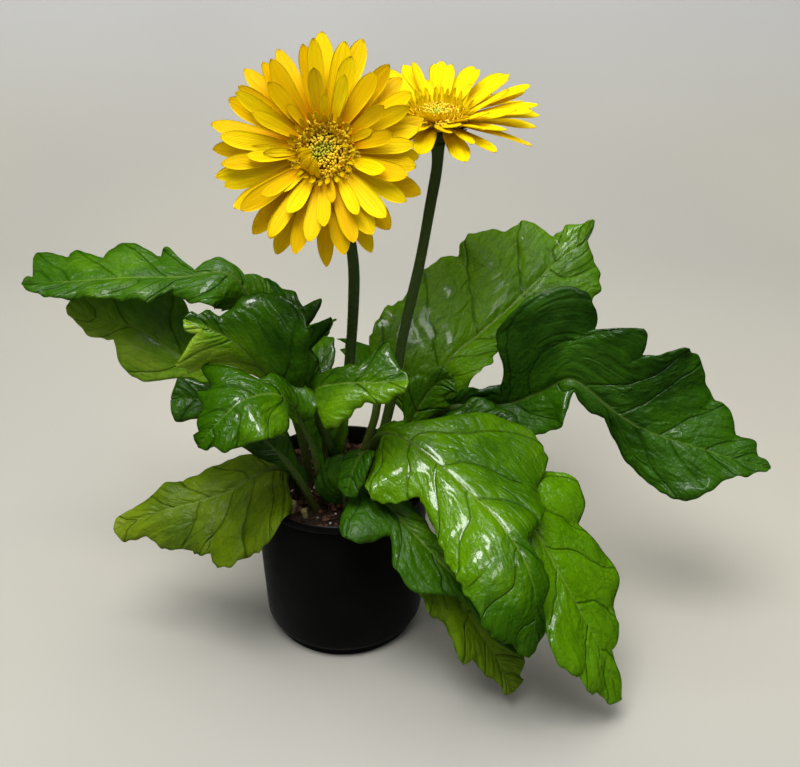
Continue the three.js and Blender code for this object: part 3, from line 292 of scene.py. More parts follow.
            (-58, -22, 115), (-68, -24, 110), (-86, -28, 106), (-110, -31, 100), (-135, -33, 89)],
        "start": 0.26, "wing_from": 0.6, "tone": (0.76, 0.76, 0.3), "gloss": 0.0, "olive": 1.0,
        "face": [(-0.3, -0.6, 0.7), (-0.4, -0.6, 0.7), (-0.3, -0.7, 0.7), (-0.3, -0.7, 0.6)],
        "fold": {"left": [30, 8, -12, -10], "right": [0, 0, 0]},
        "curl": {"left": [-5, -15, -20], "right": [-30, -30]},
        "left": [(0, 36), (10, 50), (21, 45), (24, 46), (37, 33), (40, 32), (50, 27), (59, 25), (80, 12),
            (93, 10), (100, 0)],
        "right": [(0, 3), (28, 23), (50, 17), (54, 17), (84, 9), (93, 8), (100, 0)],
    },
    "leaf_14": {  # left, under the standing one
        "rib": [(-12, -22, 86), (-17, -27, 108), (-25, -28, 129), (-40, -27, 148), (-55, -27, 165),
            (-68, -27, 174), (-82, -26, 177), (-93, -25, 176)],
        "start": 0.38, "wing_from": 0.6, "tone": (0.2, 0.25, 0), "gloss": 0.3, "olive": 0.2,
        "face": [(-0.7, -0.5, 0.4), (-0.5, -0.6, 0.6), (-0.3, -0.7, 0.6)],
        "left": [(0, 7), (24, 12), (40, 9), (56, 15), (68, 9), (90, 13), (100, 0)],
        "right": [(0, 7), (24, 14), (40, 11), (58, 18), (70, 12), (88, 12), (100, 0)],
    },
    "leaf_15": {  # small, right of centre
        "rib": [(18, 8, 86), (36, 5, 123), (43, 7, 139), (49, 9, 152), (56, 11, 162), (63, 11, 168),
            (69, 9, 169)],
        "start": 0.36, "wing_from": 0.5, "tone": (0.55, 0.55, 0), "gloss": 0.5, "olive": 0.1,
        "face": [(0.3, -0.8, 0.4), (0.4, -0.8, 0.4), (0.4, -0.8, 0.5), (0.5, -0.7, 0.5)],
        "fold": {"left": [10, 10, 10], "right": [10, 10, 10]},
        "left": [(0, 6), (22, 8), (36, 7), (58, 15), (74, 9), (88, 9), (100, 0)],
        "right": [(0, 6), (22, 8), (36, 6), (58, 15), (74, 10), (88, 9), (100, 0)],
    },
    "leaf_16": {  # right, behind the largest
        "rib": [(27, 0, 86), (40, 0, 120), (50, -3, 129), (66, -5, 137), (81, -5, 143), (95, -6, 145),
            (107, -7, 143)],
        "start": 0.3, "wing_from": 0.5, "tone": (0.3, 0.5, 0), "gloss": 0.5, "olive": 0.1,
        "face": [(0.2, -0.5, 0.8), (0, -0.5, 0.9), (0.2, -0.4, 0.9)],
        "fold": {"left": [50, 45, 30], "right": [-10, -10, 0]},
        "curl": {"left": [-20, -20], "right": [0, 0]},
        "left": [(0, 6), (24, 13), (40, 12), (62, 18), (76, 13), (90, 10), (100, 0)],
        "right": [(0, 6), (24, 8), (40, 7), (62, 9), (76, 7), (90, 7), (100, 0)],
    },
    "leaf_17": {  # small, front
        "rib": [(8, -13, 86), (11, -22, 112), (17, -29, 134), (18, -35, 147), (14, -42, 149), (9, -48, 140),
            (6, -52, 128)],
        "start": 0.6, "wing_from": 0.5, "tone": (0.45, 0.45, 0), "gloss": 0.5, "olive": 0.0,
        "face": [(0.2, 0.9, 0.2), (0.1, 0.6, 0.7), (-0.2, -0.2, 0.9), (-0.4, -0.6, 0.7)],
        "left": [(0, 3), (46, 9), (60, 9), (80, 8), (100, 0)],
        "right": [(0, 5), (46, 10), (60, 10), (80, 8), (100, 0)],
    },
    "leaf_18": {  # back
        "rib": [(5, 22, 86), (20, 34, 125), (22, 52, 140), (22, 78, 143), (22, 108, 134), (22, 138, 118),
            (21, 164, 96)],
        "start": 0.32, "wing_from": 0.6, "tone": (0.5, 0.5, 0), "gloss": 0.5, "olive": 0.1,
        "face": [(0, -0.4, 0.8), (0, 0.3, 0.9), (0, 0.4, 0.9), (0, 0.8, 0.6)],
        "fold": {"left": [20, 15, 0], "right": [10, 5, 0]},
        "left": [(0, 3), (20, 24), (32, 16), (46, 30), (60, 20), (74, 26), (86, 14), (92, 12), (100, 0)],
        "right": [(0, 3), (20, 22), (30, 15), (46, 32), (60, 20), (74, 26), (84, 15), (92, 12), (100, 0)],
    },
    "leaf_19": {  # back left
        "rib": [(-5, 21, 86), (-13, 32, 122), (-20, 48, 143), (-26, 70, 155), (-32, 96, 154),
            (-38, 124, 143), (-42, 150, 124)],
        "start": 0.32, "wing_from": 0.6, "tone": (0.5, 0.5, 0), "gloss": 0.5, "olive": 0.1,
        "face": [(-0.2, -0.4, 0.8), (-0.1, 0.3, 0.9), (0, 0.4, 0.9), (0, 0.8, 0.6)],
        "fold": {"left": [10, 5, 0], "right": [20, 15, 0]},
        "left": [(0, 3), (20, 22), (30, 15), (46, 30), (60, 20), (74, 24), (84, 14), (92, 11), (100, 0)],
        "right": [(0, 3), (20, 20), (30, 14), (44, 28), (56, 19), (72, 26), (84, 14), (92, 12), (100, 0)],
    },
}

FLAT = {"left": (0, 0), "right": (0, 0)}  # the fold or curl of a leaf that has none

# How the pieces of a leaf are made, in mm where nothing else is said.
ROW_SPACING = 1.36
COLUMN_SPACING = 1.8
VEIN_SPACING = 28  # along the midrib between side veins, about
VEIN_LAG = 0.14  # how far back towards the base a side vein starts, as a share of the blade
VEIN_WAVER = 0.12  # how far a side vein strays, as a share of the distance between two
QUILT = 0.034  # how high the blade bulges between two side veins, as a share of their distance
BLISTER = 0.25
BLISTER_ROW = 6.5  # distance between two rows of blisters
UNEVEN = {"height": 0.5, "period": 34}
EDGE_ROLL = 1.4  # how far the very margin bends down
EDGE_WAVE = {"height": 1.5, "period": 22}
EDGE_TEETH = {"depth": 0.9, "period": 9}
EDGE_BEGINS = 12  # half width from which the margin waves and has its full teeth
MIDRIB_CHANNEL = {"depth": 0.9, "width": 1.5}
# The leaf stalk and midrib: taper is the power by which it thins out, down to its end. Under the
# blade it sinks over a length; it is red over the lowest stretch.
LEAF_STALK = {"step": 2.2, "sides": 14, "reach": 0.985, "taper": 0.75, "end": 0.12,
    "sinks_over": 14, "red_over": 60, "flat": 0.95}
HAIR = 3  # the place of the hairs among the materials of a leaf and of a stalk
LEAF_HAIRS = {"per_mm": 7, "length": 1.1}
STALK_HAIRS = {"per_mm": 13, "length": 1.3}

# Florets of the disc, in a spiral. height, and how far it varies; shrink: how much lower for each
# mm past 12. lean: degrees outwards at 9 mm. at: where the radii are, as shares of the height.
# up: the same, for the colour. finish: which of the disc's materials.
FLORETS = {"number": 640, "reach": 17.2, "closed_oval": (5.4, 3.4), "anther_each": 3}
CLOSED_FLORET = {"height": 3.0, "varies": 1.1, "shrink": 0, "lean": 20, "at": [0, 0.45, 0.8, 1],
    "up": [0, 0.45, 0.8, 1], "radii": [0.4, 0.72, 0.66, 0.18], "sides": 6, "finish": 1}
OPEN_FLORET = {"height": 3.9, "varies": 0.9, "shrink": 0.2, "lean": 14,
    "at": [0, 0.5, 0.7, 0.86, 0.95, 1], "up": [0, 0.5, 0.7, 0.86, 0.95, 1],
    "radii": [0.3, 0.34, 0.46, 0.72, 0.5, 0.12], "sides": 6, "finish": 2}
ANTHER = {"at": [0.8, 1.0, 1.22, 1.3], "up": [0, 0.4, 1, 1], "radii": [0.12, 0.17, 0.22, 0.05],
    "sides": 5, "finish": 3}

SOIL_GRID = {"rings": 56, "sides": 190}
CHIP_GRID = {"rings": 5, "sides": 8}
CHIP_COUNT = 620
FIBRE_COUNT = 90
# What lies on the soil: its share of the chips, its kind in the material, size in mm, proportions.
CHIPS = [
    (0.42, 0.1, 1.6, (1, 0.6, 0.38)),  # peat
    (0.44, 0.5, 2.3, (1, 0.6, 0.38)),  # bark
    (0.14, 1.0, 1.15, (1, 0.85, 0.75)),  # perlite
]
# The stub of a leaf that was cut off, and the dry ends of two more: place, height, lean, radius, kind.
STUBS = [(-29, -27, 9, 0.5, 2.6, 1.5), (-20, -31, 6, -0.3, 2.0, 1.4), (-33, -17, 5, 0.9, 1.8, 1.2)]

# The stage, in metres: the sweep's floor and the wall it bends up into.
SWEEP = {"front": -1.6, "bend_start": 0.55, "bend_radius": 0.7, "top": 3.2, "half_width": 3.0}
# Lamps that light softly, and two that only give the sharp shine.
LAMPS = [
    {"name": "key", "place": (-0.15, -0.55, 1.6), "target": (0.02, 0, 0.15), "size": (0.9, 0.7),
     "power": 20, "colour": (1.0, 0.99, 0.97), "soft": True},
    {"name": "ceiling", "place": (0.0, 0.1, 2.1), "target": (0, 0.1, 0), "size": (2.2, 1.6),
     "power": 30, "colour": (1.0, 0.99, 0.96), "soft": True},
    {"name": "fill", "place": (-1.3, -1.5, 0.9), "target": (0, 0, 0.2), "size": (1.2, 1.2),
     "power": 3, "colour": (0.95, 0.97, 1.0), "soft": True},
    {"name": "shine_left", "place": (-0.1, -0.35, 1.5), "target": (0.02, 0, 0.15),
     "size": (0.42, 0.30), "power": 13, "colour": (1, 1, 1), "soft": False},
    {"name": "shine_right", "place": (0.5, -0.75, 1.25), "target": (0.1, -0.05, 0.1),
     "size": (0.28, 0.20), "power": 3, "colour": (1, 1, 1), "soft": False},
]
ROOM = {"colour": (0.93, 0.95, 1.0, 1), "strength": 0.19}
CAMERA = {"place": (0.0365, -0.548, 0.492), "tilt": 59.7, "lens": 48.6, "sensor": 36}


# ---- Numbers and curves ----
def scatter(n):
    """A repeatable number from -1 to 1 for any whole number."""
    value = math.sin(n * 12.9898 + 4.1) * 43758.5453
    return 2 * (value - math.floor(value)) - 1


def along(values, t):
    """Evenly spaced values at t from 0 to 1, on a smooth curve through them."""
    p = np.asarray(values, float)
    x = np.clip(np.asarray(t, float), 0, 1) * (len(p) - 1)
    i = np.minimum(x.astype(int), len(p) - 2)
    f = x - i
    wide = np.concatenate([[2 * p[0] - p[1]], p, [2 * p[-1] - p[-2]]])
    before, a, b, after = wide[i], wide[i + 1], wide[i + 2], wide[i + 3]
    if p.ndim > 1:
        f = f[..., None]
    bend = 2 * before - 5 * a + 4 * b - after + f * (3 * (a - b) + after - before)
    return a + f / 2 * (b - before + f * bend)


def around(values, angle):
    """The value at an angle of values that are evenly spaced round a circle."""
    x = angle / TURN % 1 * len(values)
    i = int(x)
    share = x - i
    return values[i % len(values)] * (1 - share) + values[(i + 1) % len(values)] * share


def unit(vectors):
    return vectors / np.maximum(np.linalg.norm(vectors, axis=-1, keepdims=True), 1e-9)


def circle(sides):
    """The angles of evenly spaced points round a circle."""
    return TURN * np.arange(sides) / sides


def ripple(points, period, seed, waves=7):
    """Smooth bumps at each point, mostly between -1 and 1 and about one period apart."""
    total = np.zeros(np.shape(points)[:-1])
    for k in range(waves):
        n = seed * 97 + k * 5
        way = unit(np.array([scatter(n), scatter(n + 1), scatter(n + 2)]))
        turns = TURN / period * (1 + 0.4 * scatter(n + 3))
        total += np.sin(points @ way * turns + math.pi * scatter(n + 4))
    return total / math.sqrt(waves)


class Curve:
    """A smooth curve through points, at distances along it in mm."""

    STEPS = 400

    def __init__(self, points):
        self.points = points
        self.u = np.linspace(0, 1, self.STEPS + 1)
        steps = np.linalg.norm(np.diff(along(points, self.u), axis=0), axis=1)
        self.reached = np.concatenate([[0], np.cumsum(steps)])
        self.length = self.reached[-1]

    def at(self, mm):
        return along(self.points, np.interp(mm, self.reached, self.u))

    def heading(self, mm, reach):
        """The way the curve runs, over a reach to each side."""
        ahead = self.at(np.minimum(mm + reach, self.length))
        return unit(ahead - self.at(np.maximum(mm - reach, 0)))


# ---- Meshes ----
def grid_faces(rows, columns, wrap=False):
    """Quads of a grid of points; with wrap, the last column joins the first."""
    i = np.arange(rows - 1)[:, None] * columns
    j = np.arange(columns if wrap else columns - 1)
    after = (j + 1) % columns
    return np.stack([i + j, i + after, i + columns + after, i + columns + j], -1).reshape(-1, 4)


def rim_faces(rows, columns):
    """Quads that join a grid to a second one behind it, all round."""
    index = np.arange(rows * columns).reshape(rows, columns)
    loop = np.concatenate([index[:-1, -1], index[-1, ::-1][:-1], index[::-1, 0][:-1], index[0, :-1]])
    after = np.roll(loop, -1)
    return np.stack([loop, loop + index.size, after + index.size, after], -1)


def slab_faces(rows, columns, flipped=False):
    """Faces of an upper grid, of a lower grid behind it and of the rim that joins them."""
    upper = grid_faces(rows, columns)
    if flipped:
        upper = upper[:, ::-1]
    return [upper, upper[:, ::-1] + rows * columns, rim_faces(rows, columns)]


def turned(profile, sides):
    """A grid of points: (radius, height) pairs turned about the axis."""
    radius, height = np.array(profile, float).T[..., None]
    angle = circle(sides)
    return np.stack([radius * np.cos(angle), radius * np.sin(angle), height + 0 * angle], -1)


def new_object(name, data):
    thing = bpy.data.objects.new(name, data)
    bpy.context.scene.collection.objects.link(thing)
    return thing


class Sheet:
    """Points and faces that are gathered for one mesh, with values for its material."""

    def __init__(self):
        self.points = []
        self.faces = []
        self.finishes = []
        self.corners = []
        self.values = {}
        self.size = 0

    def add(self, points, faces, finish=0, corners=None, **values):
        """Adds points in mm, and faces in parts. A part may have its own finish, and a pair of
        numbers for each corner of each face."""
        points = np.asarray(points, float).reshape(-1, 3)
        finishes = [finish] * len(faces) if np.isscalar(finish) else finish
        for part, kind, pairs in zip(faces, finishes, corners or [None] * len(faces)):
            self.faces.append(part + self.size)
            self.finishes.append(np.full(len(part), kind))
            self.corners.append(np.zeros((part.size, 2)) if pairs is None else pairs.reshape(-1, 2))
        self.points.append(points)
        for name, value in values.items():
            spread = np.broadcast_to(np.ravel(value), len(points))
            self.values.setdefault(name, []).append((self.size, spread))
        self.size += len(points)

    def tube(self, middles, radii, sides, finish=0, facing=(1, 0, 0), flat=1.0, **values):
        """A round tube with closed ends; flat under 1 squashes it along the facing."""
        middles = np.asarray(middles, float)
        rows = len(middles)
        ways = unit(np.gradient(middles, axis=0))
        facing = np.broadcast_to(np.asarray(facing, float), middles.shape)
        up = unit(facing - (facing * ways).sum(-1, keepdims=True) * ways)
        side = np.cross(ways, up)
        angle = circle(sides)[:, None]
        ring = side[:, None] * np.cos(angle) + up[:, None] * np.sin(angle) * flat
        points = middles[:, None] + ring * np.broadcast_to(radii, rows)[:, None, None]
        points = np.concatenate([points.reshape(-1, 3), middles[:1], middles[-1:]])
        k = np.arange(sides)
        after = (k + 1) % sides
        last = (rows - 1) * sides
        low, high = np.full(sides, rows * sides), np.full(sides, rows * sides + 1)
        faces = [grid_faces(rows, sides, wrap=True)[:, ::-1], np.stack([low, k, after], -1),
            np.stack([high, last + after, last + k], -1)]
        for name, value in values.items():
            if np.size(value) == rows:
                each = np.repeat(value, sides)
                values[name] = np.concatenate([each, each[:1], each[-1:]])
        self.add(points, faces, finish, **values)

    def mesh(self, name):
        mesh = bpy.data.meshes.new(name)
        faces = [row for part in self.faces for row in part.tolist()]
        mesh.from_pydata((np.concatenate(self.points) * MM).tolist(), [], faces)
        return mesh

    def build(self, name, materials, node, corner_map=None, sharp=None):
        """Makes the piece that stands in for a node of the frame."""
        mesh = self.mesh(name)
        for material in materials:
            mesh.materials.append(material)
        mesh.polygons.foreach_set("material_index", np.concatenate(self.finishes).astype(np.int32))
        mesh.polygons.foreach_set("use_smooth", np.ones(len(mesh.polygons), bool))
        for key, parts in self.values.items():
            values = np.zeros(self.size, np.float32)
            for start, part in parts:
                values[start:start + len(part)] = part
            mesh.attributes.new(key, "FLOAT", "POINT").data.foreach_set("value", values)
        if corner_map:
            pairs = np.concatenate(self.corners).astype(np.float32)
            mesh.uv_layers.new(name=corner_map).data.foreach_set("uv", pairs.ravel())
        if sharp is not None:
            mesh.set_sharp_from_angle(angle=math.radians(sharp))
        mesh.validate()
        piece = new_object(name, mesh)
        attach(piece, "root")
        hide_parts(node)
        return piece


# ---- Materials ----
class Output:
    """What a node gives. Sums, differences and products of it are nodes too."""

    def __init__(self, finish, socket):
        self.finish = finish
        self.socket = socket

    def __add__(self, other):
        return self.finish.maths("ADD", self, other)

    def __sub__(self, other):
        return self.finish.maths("SUBTRACT", self, other)

    def __rsub__(self, other):
        return self.finish.maths("SUBTRACT", other, self)

    def __mul__(self, other):
        return self.finish.maths("MULTIPLY", self, other)


class Finish:
    """A material; each call adds a node and gives its output."""

    def __init__(self, name, **constants):
        self.material = bpy.data.materials.new(name)
        self.material.use_nodes = True
        self.tree = self.material.node_tree
        self.shader = self.tree.nodes["Principled BSDF"]
        for socket, value in constants.items():
            self.shader.inputs[socket.replace("_", " ")].default_value = value

    def add(self, kind, inputs, output=0, **settings):
        node = self.tree.nodes.new("ShaderNode" + kind)
        for key, value in settings.items():
            setattr(node, key, value)
        for key, value in inputs.items():
            self.plug(node.inputs[key], value)
        return Output(self, node.outputs[output])

    def plug(self, socket, value):
        """Gives a socket an output, a number or a colour of three numbers."""
        if isinstance(value, Output):
            self.tree.links.new(value.socket, socket)
        elif isinstance(value, tuple):
            socket.default_value = (*value, 1.0)
        else:
            socket.default_value = value

    def maths(self, operation, a, b=0.0):
        return self.add("Math", {0: a, 1: b}, operation=operation)

    def span(self, value, low, high, to_low=0.0, to_high=1.0):
        """value from low to high, as from to_low to to_high, with smooth ends."""
        inputs = {"Value": value, "From Min": low, "From Max": high,
            "To Min": to_low, "To Max": to_high}
        return self.add("MapRange", inputs, interpolation_type="SMOOTHSTEP")

    def near(self, value, low, high):
        """1 where the value is under low, and 0 where it is over high."""
        return self.span(value, low, high, 1.0, 0.0)

    def place(self):
        return self.add("TexCoord", {}, "Object")

    def noise(self, period, detail=3.0, roughness=0.5):
        """Noise about one period in mm apart."""
        inputs = {"Vector": self.place(), "Scale": 1 / (period * MM), "Detail": detail,
            "Roughness": roughness}
        return self.add("TexNoise", inputs)

    def cells(self, place, scale):
        """The distance to the nearest edge of irregular cells."""
        inputs = {"Vector": place, "Scale": scale}
        return self.add("TexVoronoi", inputs, feature="DISTANCE_TO_EDGE")

    def value(self, name):
        return self.add("Attribute", {}, "Fac", attribute_name=name)

    def blend(self, share, a, b, how="MIX"):
        return self.add("Mix", {0: share, 6: a, 7: b}, 2, data_type="RGBA", blend_type=how)

    def bump(self, height, distance, strength=1.0, **below):
        """A normal from a height; the distance is in mm."""
        inputs = {"Height": height, "Distance": distance * MM, "Strength": strength, **below}
        return self.add("Bump", inputs)

    def finish(self, colour, roughness, normal=None, through=0.0):
        """Plugs the shader; through: the share of light that the piece lets through."""
        self.plug(self.shader.inputs["Base Color"], colour)
        self.plug(self.shader.inputs["Roughness"], roughness)
        if normal:
            self.plug(self.shader.inputs["Normal"], normal)
        if through:
            glow = self.add("BsdfTranslucent", {"Color": colour, "Normal": normal})
            shader = Output(self, self.shader.outputs[0])
            both = self.add("MixShader", {0: through, 1: shader, 2: glow})
            self.plug(self.tree.nodes["Material Output"].inputs[0], both)
        return self.material


LEAF_DARK = (0.006, 0.036, 0.0002)
LEAF_MIDDLE = (0.034, 0.126, 0.0003)
LEAF_BRIGHT = (0.108, 0.280, 0.0006)
# Painted light: the pale green of a half whose tone is over 1, as if lit.
LEAF_PAINTED_LIGHT = (0.230, 0.430, 0.0200)
VEIN_PALE = (0.200, 0.320, 0.040)
UNDERSIDE = (0.100, 0.160, 0.012)
OLIVE = (1.45, 0.88, 1.2)


def vein_nodes(f):
    """The distance to the nearest side vein in mm, and a number that is whole on each one."""
    number = f.add("SeparateXYZ", {0: f.add("UVMap", {}, uv_map="veins")})
    line = number + (f.noise(12, 2) - 0.5) * 0.14
    apart = f.maths("ABSOLUTE", line - f.maths("ROUND", line))
    return apart * f.value("vein_gap"), number


def net_nodes(f, number, out_mm):
    """The distance to the nearest small vein, which all lie in meshes between the side veins."""
    place = f.add("CombineXYZ", {0: number * 2.4, 1: out_mm * 0.125})
    bent = f.add("TexNoise", {"Vector": place, "Scale": 1.6, "Detail": 2.0}, "Color")
    return f.cells(f.blend(0.32, place, bent, "LINEAR_LIGHT"), 1.0)


def leaf_top_finish():
    f = Finish("leaf_top", IOR=1.45, Specular_IOR_Level=0.38, Coat_Roughness=0.09)
    to_vein, number = vein_nodes(f)
    out_mm = f.value("midrib_mm")
    net = net_nodes(f, number, out_mm)
    # The colour follows the tone, which is partly painted light and shade; over 1 it is painted pale, as if
    # lit.
    light = f.value("tone") + (f.noise(16, 4, 0.6) - 0.5) * 0.7
    colour = f.blend(f.span(light, 0.0, 0.5), LEAF_DARK, LEAF_MIDDLE)
    colour = f.blend(f.span(light, 0.5, 1.0), colour, LEAF_BRIGHT)
    colour = f.blend(f.span(light, 1.0, 1.5), colour, LEAF_PAINTED_LIGHT)
    colour = f.blend(f.value("olive"), colour, OLIVE, "MULTIPLY")
    # Painted shade: the side veins and the small net are painted darker, as shade in their sunken lines.
    painted_vein_shade = f.maths("MAXIMUM", f.near(net, 0.0, 0.05) * 0.26, f.near(to_vein, 0.15, 0.8) * 0.62)
    colour = f.blend(painted_vein_shade, colour, LEAF_DARK)
    midrib = f.near(out_mm - f.value("rib_width"), -0.4, 0.4)
    colour = f.blend(midrib * f.span(light, 0.1, 0.8, 0.12, 0.45), colour, VEIN_PALE)
    height = f.span(to_vein, 0.0, 1.6) * 0.8 + f.span(net, 0.0, 0.34) * 0.85
    fine = f.noise(2.6, 3, 0.6) * 0.8 + f.cells(f.place(), 1 / (3.4 * MM)) * 0.5
    # A wet shine lies on the smooth leaves only.
    coat = f.span(f.value("rough"), 0.18, 0.38, 0.46, 0.04)
    f.plug(f.shader.inputs["Coat Weight"], coat)
    rough = f.value("rough") + f.noise(7, 3, 0.6) * 0.16
    return f.finish(colour, rough, f.bump(height + fine, 0.72), through=0.14)


def leaf_below_finish():
    f = Finish("leaf_below", Specular_IOR_Level=0.15)
    to_vein, number = vein_nodes(f)
    net = net_nodes(f, number, f.value("midrib_mm"))
    mottle = f.noise(9, 4, 0.6)
    # The underside follows the same tone, partly painted light and shade.
    colour = f.blend(f.value("tone"), (0.040, 0.085, 0.006), (0.150, 0.230, 0.016))
    colour = f.blend(mottle * 0.5, colour, UNDERSIDE)
    lines = f.maths("MAXIMUM", f.near(to_vein, 0.2, 1.0), f.near(net, 0.0, 0.08) * 0.6)
    colour = f.blend(lines * 0.45, colour, VEIN_PALE)
    height = lines + f.noise(0.8, 2) * 0.25
    return f.finish(colour, mottle * 0.15 + 0.55, f.bump(height, 0.45), through=0.14)


def leaf_stalk_finish():
    f = Finish("leaf_stalk", Specular_IOR_Level=0.25)
    streak = f.noise(3, 4, 0.6)
    colour = f.blend(f.value("up"), (0.070, 0.050, 0.008), (0.060, 0.120, 0.012))
    colour = f.blend(streak * 0.5, colour, (0.022, 0.060, 0.004))
    return f.finish(colour, streak * 0.2 + 0.38, f.bump(f.noise(1.2, 3), 0.25))


def hair_finish():
    return Finish("hair", Specular_IOR_Level=0.3).finish((0.42, 0.48, 0.30), 0.5)


def petal_finish():
    f = Finish("petal", Specular_IOR_Level=0.04)
    share = f.value("along_petal")
    across = f.value("across_petal")
    tint = f.value("tint")
    out = f.maths("ABSOLUTE", across)
    # Towards the base the petals turn deep orange: partly their own colour and partly painted shade where
    # they crowd together.
    deep = f.near(share, 0.0, 0.60)
    colour = f.blend(deep, (0.80, 0.500, 0.001), (0.66, 0.225, 0.001))
    # Each petal is lighter or darker at random, and each bloom as a whole by painted light and shade.
    colour = f.blend(f.span(tint, -1.0, 1.0) * (0.9 - deep * 0.5), colour, (1.0, 0.800, 0.003))
    place = f.add("CombineXYZ", {0: across * 5.0, 1: share * 1.6, 2: tint * 30.0})
    streak = f.add("TexNoise", {"Vector": place, "Scale": 1.0, "Detail": 3.0})
    colour = f.blend(f.span(streak, 0.42, 0.68, 0.0, 0.30), colour, (0.80, 0.430, 0.001))
    # Painted shade: the grooves are painted a little darker.
    groove = f.near(f.maths("ABSOLUTE", out - GROOVE["place"]), 0.02, 0.14)
    colour = f.blend(groove * 0.22, colour, (0.72, 0.360, 0.001))
    colour = f.blend(f.span(out, 0.80, 0.97, 0.0, 0.35), colour, (0.97, 0.800, 0.010))
    height = f.maths("SINE", across * 34.0) * 0.12 + streak * 0.9
    return f.finish(colour, 0.42, f.bump(height, 0.28, 0.9), through=0.07)


def floret_finish(name, base, tip):
    """From the base colour at the foot to the tip colour at the top."""
    f = Finish(name, Specular_IOR_Level=0.3)
    return f.finish(f.blend(f.value("up"), base, tip), 0.6, f.bump(f.noise(0.6, 2), 0.15))


def stalk_finish():
    f = Finish("stalk", Specular_IOR_Level=0.35)
    streak = f.noise(2.2, 4, 0.6)
    colour = f.blend(streak, (0.018, 0.050, 0.003), (0.062, 0.112, 0.014))
    colour = f.blend(f.span(f.value("up"), 0.0, 0.35, 0.5, 0.0), colour, (0.070, 0.040, 0.018))
    return f.finish(colour, streak * 0.2 + 0.42, f.bump(f.noise(0.9, 2), 0.3))


def pot_finish():
    f = Finish("pot_plastic", Specular_IOR_Level=0.35, Sheen_Weight=0.2, Sheen_Roughness=0.35)
    streak = f.noise(26, 5, 0.6)
    near_foot = f.near(f.value("up"), 0.0, 0.42)
    speck = f.span(f.noise(2.2, 6, 0.72) + near_foot * 0.10, 0.62, 0.78)
    film = f.span(streak, 0.4, 0.75) * 0.35
    colour = f.blend(film, (0.0022, 0.0022, 0.0019), (0.006, 0.006, 0.005))
    colour = f.blend(speck * 0.5, colour, (0.030, 0.022, 0.014))
    rough = f.span(streak, 0.3, 0.8, 0.30, 0.46) + speck * 0.35
    grain = f.bump(f.noise(0.5, 3), 0.05, 0.5)
    return f.finish(colour, rough, f.bump(f.noise(18, 2), 0.5, 0.35, Normal=grain))


def soil_finish():
    """kind: 0 soil, 0.5 bark, 1 perlite, 1.2 and more dry stubs."""
    f = Finish("soil", Specular_IOR_Level=0.25)
    kind = f.value("kind")
    mottle = f.noise(3.5, 6, 0.7)
    dark = f.blend(mottle, (0.008, 0.005, 0.003), (0.048, 0.026, 0.015))
    bark = f.blend(mottle, (0.060, 0.026, 0.014), (0.170, 0.085, 0.045))
    stone = f.blend(mottle, (0.420, 0.390, 0.340), (0.660, 0.630, 0.570))
    stub = f.blend(mottle, (0.150, 0.120, 0.030), (0.400, 0.360, 0.150))
    colour = f.blend(f.span(kind, 0.2, 0.4), dark, bark)
    colour = f.blend(f.span(kind, 0.7, 0.8), colour, stone)
    colour = f.blend(f.span(kind, 1.05, 1.15), colour, stub)
    return f.finish(colour, 0.85, f.bump(f.noise(1.2, 5, 0.7), 0.5))


def paper_finish():
    f = Finish("backdrop_paper", Specular_IOR_Level=0.2)
    # Painted light and shade: the floor is painted darker and warmer than the wall, and soft patches darker,
    # as shade of folds in the sweep.
    soft = f.add("TexNoise", {"Vector": f.place(), "Scale": 1.6, "Detail": 1.0})
    height = f.add("SeparateXYZ", {0: f.place()}, 2)
    colour = f.blend(f.span(height, 0.0, 0.25), (0.50, 0.485, 0.42), (0.56, 0.565, 0.565))
    colour = f.blend(f.span(soft, 0.35, 0.65, 0.0, 0.5), colour, (0.42, 0.415, 0.40))
    return f.finish(colour, 0.6)


# ---- Leaves ----
def margin(pairs, t):
    """Half width of the blade in mm, and how much of a lobe (1) or notch (-1) it is there."""
    v = np.asarray(pairs, float)
    x = np.clip(t, 0, 1) * 100
    k = np.clip(np.searchsorted(v[:, 0], x, side="left") - 1, 0, len(v) - 2)
    quarter = math.pi / 2 * (x - v[k, 0]) / (v[k + 1, 0] - v[k, 0])
    rising = k % 2 == 0
    share = np.where(rising, np.sin(quarter), 1 - np.cos(quarter))
    width = v[k, 1] + (v[k + 1, 1] - v[k, 1]) * share
    return width, np.where(rising, share, 1 - share) * 2 - 1


def rib_frame(leaf, rib, mm):
    """The way the upper side looks and the way to the right, at places along the rib."""
    heading = rib.heading(mm, LEAF["evening"])
    face = along(leaf["face"], mm / rib.length)
    normal = unit(face - (face * heading).sum(-1, keepdims=True) * heading)
    return normal, np.cross(heading, normal)


def wing_share(leaf):
    """The length of the wings, as a share of the blade's."""
    return leaf["start"] / (1 - leaf["start"]) * (1 - leaf["wing_from"])


def blade_grid(leaf, blade_length):
    """Where the blade has its points: t along it, negative on the wings, and q across it."""
    margins = [*leaf["left"], *leaf["right"]]
    rows = round(blade_length / ROW_SPACING)
    half = max(5, round(max(width for _, width in margins) / COLUMN_SPACING))
    stations = np.linspace(0, 100, rows)
    for at, _ in margins:
        if 0 < at < 100:
            stations[1 + np.abs(stations[1:-1] - at).argmin()] = at
    wing = wing_share(leaf)
    below_blade = np.linspace(-100 * wing, 0, 1 + round(wing * rows), endpoint=False)
    stations = np.concatenate([below_blade, stations])
    return np.meshgrid(stations / 100, np.linspace(-1, 1, 2 * half + 1), indexing="ij")


